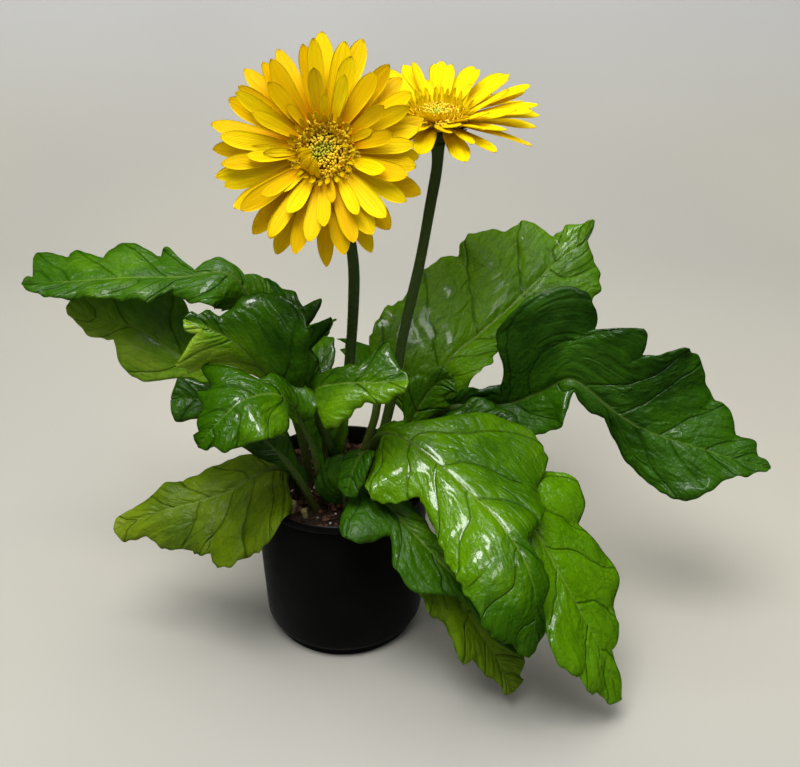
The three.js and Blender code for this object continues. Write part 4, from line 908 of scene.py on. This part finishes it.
def blade_surface(leaf, rib, t, q):
    """The middle of the blade; t from its base to its tip, q from -1 left to 1 right."""
    right = q > 0
    width, lobe = (np.where(right, a, b)
        for a, b in zip(margin(leaf["right"], t), margin(leaf["left"], t)))
    # Below the blade the leaf stalk has wings, which narrow down to it.
    grown = np.clip(1 + t / wing_share(leaf), 0, 1)
    grown = grown * (2 - grown)
    wide = np.maximum(width * grown, LEAF["tip"])
    out = np.abs(q)
    first = leaf["start"] * rib.length
    straight = first + (rib.length - first) * t
    left = np.maximum(rib.length - straight, 1e-6)
    sweep = LEAF["sweep"] * np.clip(LEAF["sweep_at_base"] + LEAF["sweep_growth"] * t, 0, 1)
    reached = straight + left * np.tanh(sweep * wide * out / left)
    fold, curl = (np.radians(np.where(right, along(bend["right"], t), along(bend["left"], t)))
        for bend in (leaf.get("fold", FLAT), leaf.get("curl", FLAT)))
    curl = np.where(np.abs(curl) < 1e-3, 1e-3, curl)
    sideways = wide * (np.sin(fold + curl * out) - np.sin(fold)) / curl
    lift = wide * (np.cos(fold) - np.cos(fold + curl * out)) / curl
    lift += LEAF["ruffle"] * lobe * grown * out**2 * np.minimum(1, wide / LEAF["ruffle_width"])
    normal, to_right = rib_frame(leaf, rib, reached)
    place = rib.at(reached) + to_right * (sideways * np.sign(q))[..., None]
    return place + normal * lift[..., None], wide * out


def surface_normals(points):
    return unit(np.cross(np.gradient(points, axis=1), np.gradient(points, axis=0)))


def vein_numbers(pairs, blade_length, t):
    """A number that is whole on each side vein, and the mm between two veins."""
    lobes = [at / 100 for at, _ in pairs[1::2]]
    lines = [lobes[0] * 0.45]
    for a, b in zip([lines[0], *lobes], lobes):
        parts = max(1, round((b - a) * blade_length / VEIN_SPACING))
        lines += [a + (b - a) * k / parts for k in range(1, parts + 1)]
    lines = np.array([2 * lines[0] - lines[1], *lines, 2 * lines[-1] - lines[-2]])
    number = np.interp(t, lines, np.arange(len(lines)))
    step = np.diff(lines)
    gap = step[np.clip(np.floor(number).astype(int), 0, len(step) - 1)] * blade_length
    return number, gap


def blade_relief(t, q, out_mm, middle, number, gap, seed):
    """How far the blade rises from its smooth middle, in mm."""
    edge = np.abs(q)
    # Between two side veins the blade bulges up, with smaller blisters in rows.
    off_vein = 2 * np.abs(number - np.round(number))
    fade = np.clip(out_mm / 5, 0, 1) * (1 - edge**6) * np.clip((1 - t) * 8, 0, 1)
    lift = QUILT * gap * (1 - (1 - off_vein) ** 2.4) * fade
    row = out_mm / BLISTER_ROW + 0.5 * np.floor(number) + 0.3 * ripple(middle, 11, seed + 1)
    blister = np.sqrt(np.abs(np.sin(math.pi * row))) * np.minimum(1, off_vein * 2)
    lift += BLISTER * blister * fade
    lift += UNEVEN["height"] * ripple(middle, UNEVEN["period"], seed + 2) * edge
    wave = ripple(middle, EDGE_WAVE["period"], seed + 3) * edge**3
    lift += EDGE_WAVE["height"] * wave * np.minimum(1, out_mm / EDGE_BEGINS)
    lift -= EDGE_ROLL * edge**10 * np.minimum(1, out_mm / 10)
    # The midrib is a channel that runs out towards the tip.
    channel = np.exp(-((out_mm / MIDRIB_CHANNEL["width"]) ** 2)) * (1 - 0.8 * t)
    return lift - MIDRIB_CHANNEL["depth"] * channel


def leaf_values(leaf, t, q, middle, seed):
    """The blade's values for its material: how light it is, its own tone with painted light and shade, and
    how rough it is.
    """
    left_painted_light_and_tone, right_painted_light_and_tone, more_at_tip = leaf["tone"]
    share = np.clip(q * 2, -1, 1) / 2 + 0.5
    tone = left_painted_light_and_tone * (1 - share) + right_painted_light_and_tone * share + 0.08 * ripple(middle, 60, seed + 4)
    return {
        "tone": tone + more_at_tip * np.clip((t - 0.45) / 0.4, 0, 1) ** 1.5,
        "rough": 0.38 - 0.20 * leaf["gloss"] + 0.04 * ripple(middle, 30, seed + 5),
        "rib_width": 1.15 * np.clip(1 - t, 0, 1) ** 0.8 + 0.1,
    }


def leaf_blade(sheet, leaf, rib, seed):
    blade_length = rib.length * (1 - leaf["start"])
    t, q = blade_grid(leaf, blade_length)
    edge = np.abs(q)
    middle, out_mm = blade_surface(leaf, rib, t, q)
    lag = VEIN_LAG * (1 - edge**1.2) * np.clip(0.35 + 2 * t, 0.35, 1) * (1 - 0.5 * t)
    waver = VEIN_WAVER * ripple(middle, 40, seed) * np.minimum(1, edge * 3)
    (left, left_gap), (right, right_gap) = (
        vein_numbers(leaf[side], blade_length, t + lag) for side in ("left", "right"))
    left, right = left + waver, right + waver
    gap = np.where(q > 0, right_gap, left_gap)
    lift = blade_relief(t, q, out_mm, middle, np.where(q > 0, right, left), gap, seed)
    outwards = unit(np.gradient(middle, axis=1)) * np.sign(q)[..., None]
    teeth = EDGE_TEETH["depth"] * ripple(middle, EDGE_TEETH["period"], seed + 6) * edge**5
    teeth = teeth * np.minimum(1, out_mm / EDGE_BEGINS)
    middle = middle + surface_normals(middle) * lift[..., None] + outwards * teeth[..., None]
    thick = surface_normals(middle) * (LEAF["thickness"] / 2 * (1 - 0.55 * edge**8))[..., None]

    faces = slab_faces(*t.shape)
    upper = faces[0]
    columns = t.shape[1]
    on_right = upper[:, :1] % columns >= columns // 2
    lines = np.where(on_right, right.ravel()[upper], left.ravel()[upper])
    pairs = np.stack([lines, q.ravel()[upper]], -1)
    values = {"vein_gap": gap, "midrib_mm": out_mm, **leaf_values(leaf, t, q, middle, seed)}
    values = {key: np.tile(value.ravel(), 2) for key, value in values.items()}
    sheet.add([middle + thick, middle - thick], faces, [0, 1, 0], [pairs, pairs[:, ::-1], None],
        olive=leaf["olive"], **values)


def leaf_stalk(sheet, leaf, rib):
    """The leaf stalk, which runs on below the blade as its midrib."""
    first = leaf["start"] * rib.length
    p = LEAF_STALK
    mm = np.linspace(0, rib.length * p["reach"], round(rib.length / p["step"]))
    share = np.clip((mm - first) / (rib.length - first), 0, 1)
    radius = LEAF["petiole"] * (1 - share) ** p["taper"] + p["end"]
    under = np.clip((mm - first) / p["sinks_over"], 0, 1)
    under = under * under * (3 - 2 * under)
    normal, _ = rib_frame(leaf, rib, mm)
    middles = rib.at(mm) - normal * (under * (radius * 0.9 + 0.25))[:, None]
    up = np.clip(mm / p["red_over"], 0, 1)
    sheet.tube(middles, radius, p["sides"], 2, facing=normal, flat=p["flat"], up=up)
    free = mm < first * 0.95
    add_hairs(sheet, middles[free], radius[free], first, LEAF_HAIRS, round(first * 100))


def make_leaf(name, leaf, materials, seed):
    rib = Curve(leaf["rib"])
    sheet = Sheet()
    leaf_blade(sheet, leaf, rib, seed)
    leaf_stalk(sheet, leaf, rib)
    sheet.build(name + "_grown", materials, name, corner_map="veins")


def add_hairs(sheet, middles, radii, length, hairs, seed):
    """Fine hairs all round a stem of that length: slim three-sided spikes."""
    rng = np.random.default_rng(seed)
    number = round(length * hairs["per_mm"])
    ways = unit(np.gradient(middles, axis=0))
    side = unit(np.cross(ways, np.array([0.31, 0.52, 0.8])))
    back = np.cross(ways, side)
    k = rng.integers(0, len(middles) - 1, number)
    angle = rng.random(number)[:, None] * TURN
    out = side[k] * np.cos(angle) + back[k] * np.sin(angle)
    share = rng.random(number)[:, None]
    root = middles[k] * (1 - share) + middles[k + 1] * share + out * radii[k, None] * 0.93
    along_stem = unit(ways[k] + 0.6 * rng.normal(size=(number, 3)))
    reach = hairs["length"] * (0.5 + 0.7 * rng.random(number))[:, None]
    tip = root + unit(out + 0.35 * along_stem) * reach
    across = unit(np.cross(out, along_stem)) * 0.045
    lengthwise = np.cross(across, out)
    points = np.stack([root - across, root + across, root + 1.6 * lengthwise, tip], 1)
    sides = np.array([(0, 1, 3), (1, 2, 3), (2, 0, 3)])
    faces = (4 * np.arange(number)[:, None, None] + sides).reshape(-1, 3)
    sheet.add(points, [faces], HAIR, up=0.6)


# ---- Blooms ----
def bloom_frame(bloom):
    """The bloom's own axes as columns (right, up, axis), and its centre."""
    axis = unit(np.array(bloom["faces"], float))
    right = unit(np.cross([0, 0, 1], axis))
    return np.stack([right, np.cross(axis, right), axis], -1), np.array(bloom["centre"], float)


def placed(points, bloom):
    axes, centre = bloom_frame(bloom)
    return np.asarray(points) @ axes.T + centre


def petal_sides(row, form, angle, length, rise, roll, seed):
    """The upper and lower side of one petal in the bloom's own frame, and where their rows and
    columns lie, from 0 to 1 and from -1 to 1."""
    s = np.linspace(0, 1, form["rows"])
    s = s + 0.45 * s * (1 - s)
    v = np.linspace(-1, 1, form["columns"])
    slope = np.radians(rise + 2 * row["lift"] * s + 5 * scatter(seed + 50) * s * s)[:, None]
    drift = math.sin(math.radians(3.5 * scatter(seed + 51))) * s[:, None]
    outwards = np.array([math.cos(angle), math.sin(angle), 0])
    sideways = np.array([-math.sin(angle), math.cos(angle), 0])
    heading = np.cos(slope) * (outwards + sideways * drift)
    heading = unit(heading + np.sin(slope) * np.array([0, 0, 1]))
    steps = (heading[:-1] + heading[1:]) / 2 * (length * np.diff(s))[:, None]
    middles = outwards * row["root"] + np.array([0, 0, row["height"]])
    middles = middles + np.concatenate([[np.zeros(3)], np.cumsum(steps, axis=0)])
    turn = np.radians(roll * (0.5 + s) + 6 * scatter(seed + 52) * s)[:, None]
    across = sideways * np.cos(turn) + unit(np.cross(heading, sideways)) * np.sin(turn)
    face = unit(np.cross(heading, across))
    end = np.clip((s - 1 + form["blunt"]) / form["blunt"], 0, 1)
    width = along([0.30, 0.60, 0.84, 0.97, 1.0, 0.95], s) * (1 - 0.98 * end**2.1) ** 0.64
    half = row["width"] / 2 * width * (1 + PETAL_SCATTER["width"] * scatter(seed + 55))
    half = half[:, None]
    # Two lengthwise grooves that end in notches, and a shallow channel near the base.
    groove = np.exp(-(((np.abs(v) - GROOVE["place"]) / GROOVE["width"]) ** 2))
    t = s[:, None]
    lift = -form["grooves"] * groove * np.clip(t * 4, 0, 1)
    lift = lift + form["cupping"] * half * v**2 * (1.6 - 1.5 * t)
    lift = lift + 0.35 * np.sin(t * 7 + 3 * scatter(seed + 53)) * v
    back = -GROOVE["notch"] * length * groove * t**10
    middle = middles[:, None] + across[:, None] * (half * v)[..., None]
    middle = middle + face[:, None] * lift[..., None] + heading[:, None] * back[..., None]
    thick = form["thickness"] / 2 * (1 - 0.6 * np.abs(v) ** 4)[:, None]
    normals = surface_normals(middle)
    normals = np.where((normals * face[:, None]).sum(-1, keepdims=True) < 0, -normals, normals)
    return middle + normals * thick, middle - normals * thick, t, v


def add_thin(sheet, bloom, top, below, finish, **values):
    """A petal or a scale between its two sides, with values for each point of a side."""
    shape = top.shape[:2]
    looks = np.cross(top[0, 1] - top[0, 0], top[1, 0] - top[0, 0])
    flipped = (top - below)[0, 0] @ looks < 0
    both = {key: np.tile(np.broadcast_to(value, shape).ravel(), 2) for key, value in values.items()}
    sheet.add(placed([top, below], bloom), slab_faces(*shape, flipped), finish, **both)


def add_petal(sheet, row, form, bloom, seed, place, paler=0.0):
    """One petal; paler takes its colours from further out, where they are lighter."""
    place = place + row["turn"] + PETAL_SCATTER["turn"] * scatter(seed)
    angle = TURN * place / row["count"]
    length = row["length"] * around(bloom["reach"], angle)
    length *= 1 + PETAL_SCATTER["length"] * scatter(seed + 1)
    rise = row["rise"] + bloom["open"] * (1 - row["rise"] / 30)
    rise += PETAL_SCATTER["rise"] * scatter(seed + 2)
    roll = PETAL_SCATTER["roll"] * scatter(seed + 3)
    top, below, t, v = petal_sides(row, form, angle, length, rise, roll, seed)
    # Its tint varies at random, plus the painted light and shade of its bloom.
    add_thin(sheet, bloom, top, below, 0, along_petal=paler + (1 - paler) * t, across_petal=v,
        tint=scatter(seed + 54) + bloom["light"])


def add_petals(sheet, rows, form, bloom, paler=0.0):
    for row in rows:
        for i in range(row["count"]):
            seed = bloom["seed"] * 1000 + row["seed"] + 4 * i
            add_petal(sheet, row, form, bloom, seed, i, paler)


def make_rays(bloom, number, material):
    """The ring and its petals: long ones, then small curled ones, then thin short florets."""
    sheet = Sheet()
    ring = BLOOM["ring"]
    profile = [(ring["inner"], ring["bottom"]), (ring["outer"] - 1.5, ring["bottom"]),
        (ring["outer"], ring["bottom"] + 1.5), (ring["outer"] - 1.0, ring["top"] - 1.6),
        (ring["outer"] - 3.0, ring["top"]), (ring["inner"], ring["top"])]
    points = turned(profile, ring["sides"])
    faces = grid_faces(len(profile) + 1, ring["sides"], wrap=True) % (len(profile) * ring["sides"])
    sheet.add(placed(points, bloom), [faces], along_petal=0.1, across_petal=0.9, tint=0.0)
    add_petals(sheet, PETAL_ROWS, PETAL, bloom)
    for i, (degrees, length, width, rise, lift) in enumerate(bloom["curled"]):
        row = {**CURLED_ROW, "length": length, "width": width, "rise": rise, "lift": lift}
        seed = bloom["seed"] * 1000 + 900 + 4 * i
        add_petal(sheet, row, CURLED, bloom, seed, degrees, paler=0.6)
    add_petals(sheet, STRAP_ROWS, STRAP, bloom, bloom["straps"])
    sheet.build(f"rays_{number}_grown", [material], f"rays_{number}")


def dome(out):
    """The height of the disc at a distance from its axis."""
    disc = BLOOM["disc"]
    bulge = disc["rise"] * (1 - min(1.0, out / disc["radius"]) ** 4)
    return BLOOM["ring"]["bottom"] + disc["side"] + bulge


def add_floret(sheet, bloom, number, i):
    """A closed bud or an open floret, which may have its anthers; i counts outwards."""
    out = FLORETS["reach"] * math.sqrt((i + 0.5) / FLORETS["number"])
    a = i * GOLDEN_ANGLE + 0.12 * scatter(i + 900 * number)
    x, y = out * math.cos(a), out * math.sin(a)
    # The buds that are still closed fill a slanting oval, a little off the middle.
    wide, high = FLORETS["closed_oval"]
    near = math.hypot((0.8 * (x + 1) + 0.6 * y) / wide, (0.8 * y - 0.6 * (x + 1)) / high)
    closed = near < 1 + 0.16 * scatter(i + 44)
    floret = CLOSED_FLORET if closed else OPEN_FLORET
    foot = dome(out) - 1 if out < 9 else 1.5 - 0.12 * max(0, out - 13)
    lean = math.radians(floret["lean"] * out / 9 + 9 * scatter(i + 40))
    turn = a + math.radians(40 * scatter(i + 41))
    way = np.array([math.cos(turn) * math.sin(lean), math.sin(turn) * math.sin(lean), math.cos(lean)])
    height = floret["height"] + floret["varies"] * scatter(i + 42)
    height -= floret["shrink"] * max(0, out - 12)
    bare = closed or i % FLORETS["anther_each"] > 0
    for part in [floret] if bare else [floret, ANTHER]:
        middles = np.array([x, y, foot]) + way * (np.array(part["at"]) * height)[:, None]
        sheet.tube(placed(middles, bloom), part["radii"], part["sides"], part["finish"],
            facing=(0.3, 0.2, 0.9), up=part["up"])


def make_disc(bloom, number, materials):
    """A low dome under closed buds, with open florets and their anthers round them."""
    sheet = Sheet()
    disc = BLOOM["disc"]
    profile = [(out, dome(out) - 0.5) for out in (0.01, 2, 4, 6, 7.5, 8.5, disc["radius"])]
    profile.append((disc["radius"], BLOOM["ring"]["bottom"]))
    faces = grid_faces(len(profile), disc["sides"], wrap=True)[:, ::-1]
    sheet.add(placed(turned(profile, disc["sides"]), bloom), [faces], up=0.0)
    for i in range(FLORETS["number"]):
        add_floret(sheet, bloom, number, i)
    sheet.build(f"disc_{number}_grown", materials, f"disc_{number}")


def add_cup(sheet, bloom):
    """The green cup behind the ring, with its scales."""
    cup = BLOOM["cup"]
    deep = cup["depth"]
    top = BLOOM["ring"]["bottom"] - GAP
    profile = [(0, -deep - 0.3), (3.6, -deep), (6.9, -deep * 0.74), (9.6, -deep * 0.5),
        (11.6, -deep * 0.28), (cup["radius"], top), (0, top)]
    faces = grid_faces(len(profile), cup["sides"], wrap=True)
    sheet.add(placed(turned(profile, cup["sides"]), bloom), [faces], 1, up=1.0)
    for k, row in enumerate(SCALE_ROWS):
        for i in range(row["count"]):
            seed = 4000 + 300 * k + 5 * i
            angle = TURN * (i + 0.5 * (k % 2) + 0.12 * scatter(seed)) / row["count"]
            length = row["length"] * (1 + 0.1 * scatter(seed + 1))
            upper, below, t, _ = petal_sides(row, SCALE, angle, length, row["rise"], 0, seed)
            add_thin(sheet, bloom, upper, below, 2, up=t)


def make_stalk(bloom, number, materials):
    sheet = Sheet()
    neck = [placed((0, 0, -share * BLOOM["cup"]["depth"]), bloom) for share in (2.2, 1.0)]
    curve = Curve([*bloom["stalk"], *neck])
    mm = np.linspace(0, curve.length, round(curve.length / STALK["step"]))
    share = mm / curve.length
    flare = np.clip((mm - curve.length) / STALK["flare_length"] + 1, 0, 1) ** 2
    radius = STALK["radius"] * (1 + STALK["flare"] * flare + 0.03 * np.sin(share * 23))
    sheet.tube(curve.at(mm), radius, STALK["sides"], 0, up=share)
    add_hairs(sheet, curve.at(mm), radius, curve.length, STALK_HAIRS, 70 + number)
    add_cup(sheet, bloom)
    sheet.build(f"stalk_{number}_grown", materials, f"stalk_{number}")


# ---- Pot ----
BODY_START = POT["foot_height"] + POT["shoulder"]
BODY_END = POT["height"] - POT["lip_depth"] - POT["edge"]


def body_radius(z):
    top = POT["lip_radius"] - POT["lip_step"]
    share = (z - BODY_START) / (BODY_END - BODY_START)
    return POT["body_radius"] + (top - POT["body_radius"]) * share


def pot_profile():
    """(radius, height) from the middle of the foot, up outside, over the lip and down inside."""
    wall, edge, shoulder, recess = (POT[key] for key in ("wall", "edge", "shoulder", "foot_recess"))
    foot, foot_top, pad = POT["foot_radius"], POT["foot_height"], POT["foot_pad"]
    ring = foot - POT["foot_ring"]
    body, lip, top = POT["body_radius"], POT["lip_radius"], POT["height"]
    lip_foot = top - POT["lip_depth"]
    arc = [(body - shoulder * (1 - math.cos(a)), BODY_START + shoulder * math.sin(a))
        for a in np.radians(np.linspace(-90, 0, 9))]
    return [
        (0.01, 0), (pad, 0), (pad + edge, recess), (ring - edge, recess), (ring, 0),
        (foot - edge, 0), (foot - 0.2, 0.3), (foot, edge), (foot, foot_top - 0.6),
        (foot + 0.4, foot_top), *arc,
        *[(body_radius(z), z) for z in np.linspace(BODY_START + 8, BODY_END - 1.5, 10)],
        (body_radius(BODY_END), BODY_END), (lip - 0.5, lip_foot - 0.1), (lip, lip_foot + 0.5),
        (lip, top - 1.1), (lip - 0.25, top - 0.4), (lip - 0.8, top), (lip - 1.3, top - 0.15),
        (lip - wall, top - 0.8), (body_radius(BODY_END) - wall, BODY_END), (body - wall, BODY_START),
        (foot - wall, foot_top + wall), (foot - wall, recess + wall), (0.01, recess + wall),
    ]


def make_pot(material):
    points = turned(pot_profile(), POT["sides"])
    # The body of a thin moulded pot is never quite round.
    upper = np.minimum(1, points[..., 2] / 40)
    points[..., :2] *= (1 + 0.004 * np.sin(2 * circle(POT["sides"]) + 0.6) * upper)[..., None]
    sheet = Sheet()
    faces = grid_faces(len(points), POT["sides"], wrap=True)
    sheet.add(points, [faces], up=points[..., 2] / POT["height"])
    cut_drains(sheet.build("pot_shell", [material], "pot", sharp=50))


def cut_drains(pot):
    sheet = Sheet()
    for angle in circle(DRAINS["number"]):
        middle = np.array([math.cos(angle), math.sin(angle), 0]) * DRAINS["circle"]
        sheet.tube([middle - (0, 0, 6), middle + (0, 0, 6)], DRAINS["radius"], DRAINS["sides"])
    cutter = new_object("drains", sheet.mesh("drains"))
    cut = pot.modifiers.new("drains", "BOOLEAN")
    cut.object = cutter
    cut.solver = "EXACT"
    bpy.context.view_layer.objects.active = pot
    bpy.ops.object.modifier_apply(modifier="drains")
    bpy.data.objects.remove(cutter)


# ---- Soil ----
def soil_height(x, y):
    """The surface of the soil, in mm."""
    bumps = np.sin(x * 0.31 + 2) * np.cos(y * 0.27) + np.sin(x * 0.13 - y * 0.4)
    points = np.stack([x, y, np.zeros_like(x)], -1)
    rough = 0.9 * ripple(points, 7, 11) + 0.5 * ripple(points, 3, 12) + 0.3 * ripple(points, 1.6, 13)
    return SOIL["top"] + SOIL["bump"] / 2 * bumps + rough * 0.6


def random_spot(rng, reach):
    out = reach * math.sqrt(rng.random())
    a = rng.random() * TURN
    return out * math.cos(a), out * math.sin(a)


def add_bed(sheet, edge):
    """The body of the soil: its surface, a skirt and a bottom."""
    rings, sides = SOIL_GRID["rings"], SOIL_GRID["sides"]
    radius = edge * np.linspace(0.002, 1, rings)[:, None]
    x, y = radius * np.cos(circle(sides)), radius * np.sin(circle(sides))
    surface = np.stack([x, y, soil_height(x, y) - 1.2 * (radius / edge) ** 8], -1)
    skirt = surface[-1:] * [1, 1, 0] + [0, 0, SOIL["top"] - SOIL["below"]]
    points = np.concatenate([surface, skirt, skirt * [0.01, 0.01, 1]])
    sheet.add(points, [grid_faces(rings + 2, sides, wrap=True)], kind=0.0)


def add_chip(sheet, rng, reach):
    """A rough lump: a sphere of few faces, pulled out of round."""
    rings, sides = CHIP_GRID["rings"], CHIP_GRID["sides"]
    place = random_spot(rng, reach)
    _, kind, size, shape = CHIPS[rng.choice(len(CHIPS), p=[chip[0] for chip in CHIPS])]
    size = size * (0.6 + 0.9 * rng.random())
    lat = np.linspace(-math.pi / 2 + 0.05, math.pi / 2 - 0.05, rings)[:, None]
    lon = circle(sides)
    ball = np.stack([np.cos(lat) * np.cos(lon), np.cos(lat) * np.sin(lon), np.sin(lat) + 0 * lon], -1)
    ball = ball * (1 + 0.28 * (rng.random((rings, sides, 1)) - 0.5)) * shape * size
    turn, tip = rng.random() * TURN, (rng.random() - 0.5) * 0.9
    spin = np.array([[math.cos(turn), -math.sin(turn), 0], [math.sin(turn), math.cos(turn), 0],
        [0, 0, 1]])
    tilt = np.array([[math.cos(tip), 0, math.sin(tip)], [0, 1, 0], [-math.sin(tip), 0, math.cos(tip)]])
    points = ball @ tilt.T @ spin.T + [*place, soil_height(*place) + size * shape[2] * 0.45]
    k = np.arange(1, sides - 1)
    last = (rings - 1) * sides
    low = np.stack([0 * k, k + 1, k], -1)
    high = np.stack([0 * k, k, k + 1], -1) + last
    sheet.add(points, [grid_faces(rings, sides, wrap=True), low, high], kind=kind)


def add_fibre(sheet, rng, edge):
    """A thin thread that lies on the soil, left out where it would reach the pot."""
    start = random_spot(rng, edge * 0.9)
    turn = rng.random() * TURN
    length = 5 + 9 * rng.random()
    s = np.linspace(0, 1, 7)
    bow = (rng.random() - 0.5) * 1.6 * s * (1 - s)
    x = start[0] + length * (math.cos(turn) * s - math.sin(turn) * bow)
    y = start[1] + length * (math.sin(turn) * s + math.cos(turn) * bow)
    if np.hypot(x, y).max() < edge - 1:
        z = soil_height(x, y) + 0.5 + 1.2 * np.sin(math.pi * s) * rng.random()
        radius = 0.22 + 0.12 * rng.random()
        sheet.tube(np.stack([x, y, z], -1), radius, 5, facing=(0, 0, 1), kind=0.5)


def make_soil(material):
    sheet = Sheet()
    edge = body_radius(SOIL["top"]) - POT["wall"] - 0.15
    add_bed(sheet, edge)
    rng = np.random.default_rng(5)
    for _ in range(CHIP_COUNT):
        add_chip(sheet, rng, edge * 0.985)
    for _ in range(FIBRE_COUNT):
        add_fibre(sheet, rng, edge)
    for x, y, up, lean, wide, kind in STUBS:
        foot = soil_height(x, y) - 1
        path = [(x + lean * k, y + 0.4 * k, foot + up * k / 3) for k in range(4)]
        sheet.tube(path, wide * np.array([1, 0.9, 0.95, 0.8]), 12, kind=kind)
    sheet.build("soil_bed", [material], "soil")


# ---- Scene ----
def make_stage():
    """A pale sweep: a floor that bends up into a wall behind the plant."""
    start, radius, half = SWEEP["bend_start"], SWEEP["bend_radius"], SWEEP["half_width"]
    bend = [(start + radius * math.sin(a), radius * (1 - math.cos(a)))
        for a in np.linspace(0, math.pi / 2, 24)]
    line = [(SWEEP["front"], 0.0), *bend, (start + radius, SWEEP["top"])]
    points = [(x, y, z) for y, z in line for x in (-half, half)]
    mesh = bpy.data.meshes.new("backdrop")
    mesh.from_pydata(points, [], grid_faces(len(line), 2)[:, ::-1].tolist())
    mesh.polygons.foreach_set("use_smooth", np.ones(len(mesh.polygons), bool))
    mesh.materials.append(paper_finish())
    backdrop = new_object("backdrop", mesh)
    backdrop.visible_glossy = False


def add_lamp(lamp):
    light = bpy.data.lights.new(lamp["name"], "AREA")
    light.shape = "RECTANGLE"
    light.size, light.size_y = lamp["size"]
    light.energy = lamp["power"]
    light.color = lamp["colour"]
    thing = new_object(lamp["name"], light)
    thing.location = lamp["place"]
    way = Vector(lamp["target"]) - Vector(lamp["place"])
    thing.rotation_euler = way.to_track_quat("-Z", "Y").to_euler()
    thing.visible_glossy = not lamp["soft"]
    thing.visible_diffuse = lamp["soft"]
    thing.visible_transmission = lamp["soft"]


def make_room():
    world = bpy.data.worlds.new("room")
    world.use_nodes = True
    background = world.node_tree.nodes["Background"]
    background.inputs[0].default_value = ROOM["colour"]
    background.inputs[1].default_value = ROOM["strength"]
    world.cycles_visibility.glossy = False
    bpy.context.scene.world = world


def make_camera():
    camera = bpy.data.cameras.new("camera")
    camera.lens = CAMERA["lens"]
    camera.sensor_width = CAMERA["sensor"]
    eye = new_object("camera", camera)
    eye.location = CAMERA["place"]
    eye.rotation_euler = (math.radians(CAMERA["tilt"]), 0, 0)
    bpy.context.scene.camera = eye


hair = hair_finish()
leaf_materials = [leaf_top_finish(), leaf_below_finish(), leaf_stalk_finish(), hair]
for number, (name, leaf) in enumerate(LEAVES.items()):
    make_leaf(name, leaf, leaf_materials, 20 + 7 * number)

petal = petal_finish()
disc_materials = [
    floret_finish("disc_base", (0.30, 0.22, 0.006), (0.30, 0.22, 0.006)),
    # The buds are painted darker towards their foot, as shade in the gaps between them.
    floret_finish("disc_bud", (0.22, 0.22, 0.010), (0.66, 0.64, 0.05)),
    floret_finish("disc_floret", (0.66, 0.44, 0.008), (0.94, 0.72, 0.03)),
    floret_finish("disc_anther", (0.85, 0.55, 0.02), (0.64, 0.26, 0.01)),
]
cup_finish = floret_finish("cup", (0.020, 0.032, 0.010), (0.030, 0.048, 0.014))
scale_finish = floret_finish("bract", (0.022, 0.036, 0.011), (0.060, 0.075, 0.020))
stalk_materials = [stalk_finish(), cup_finish, scale_finish, hair]
for number, bloom in enumerate(BLOOMS, 1):
    make_rays(bloom, number, petal)
    make_disc(bloom, number, disc_materials)
    make_stalk(bloom, number, stalk_materials)

make_pot(pot_finish())
make_soil(soil_finish())
make_stage()
for lamp in LAMPS:
    add_lamp(lamp)
make_room()
make_camera()
bpy.context.scene.view_settings.view_transform = "Standard"
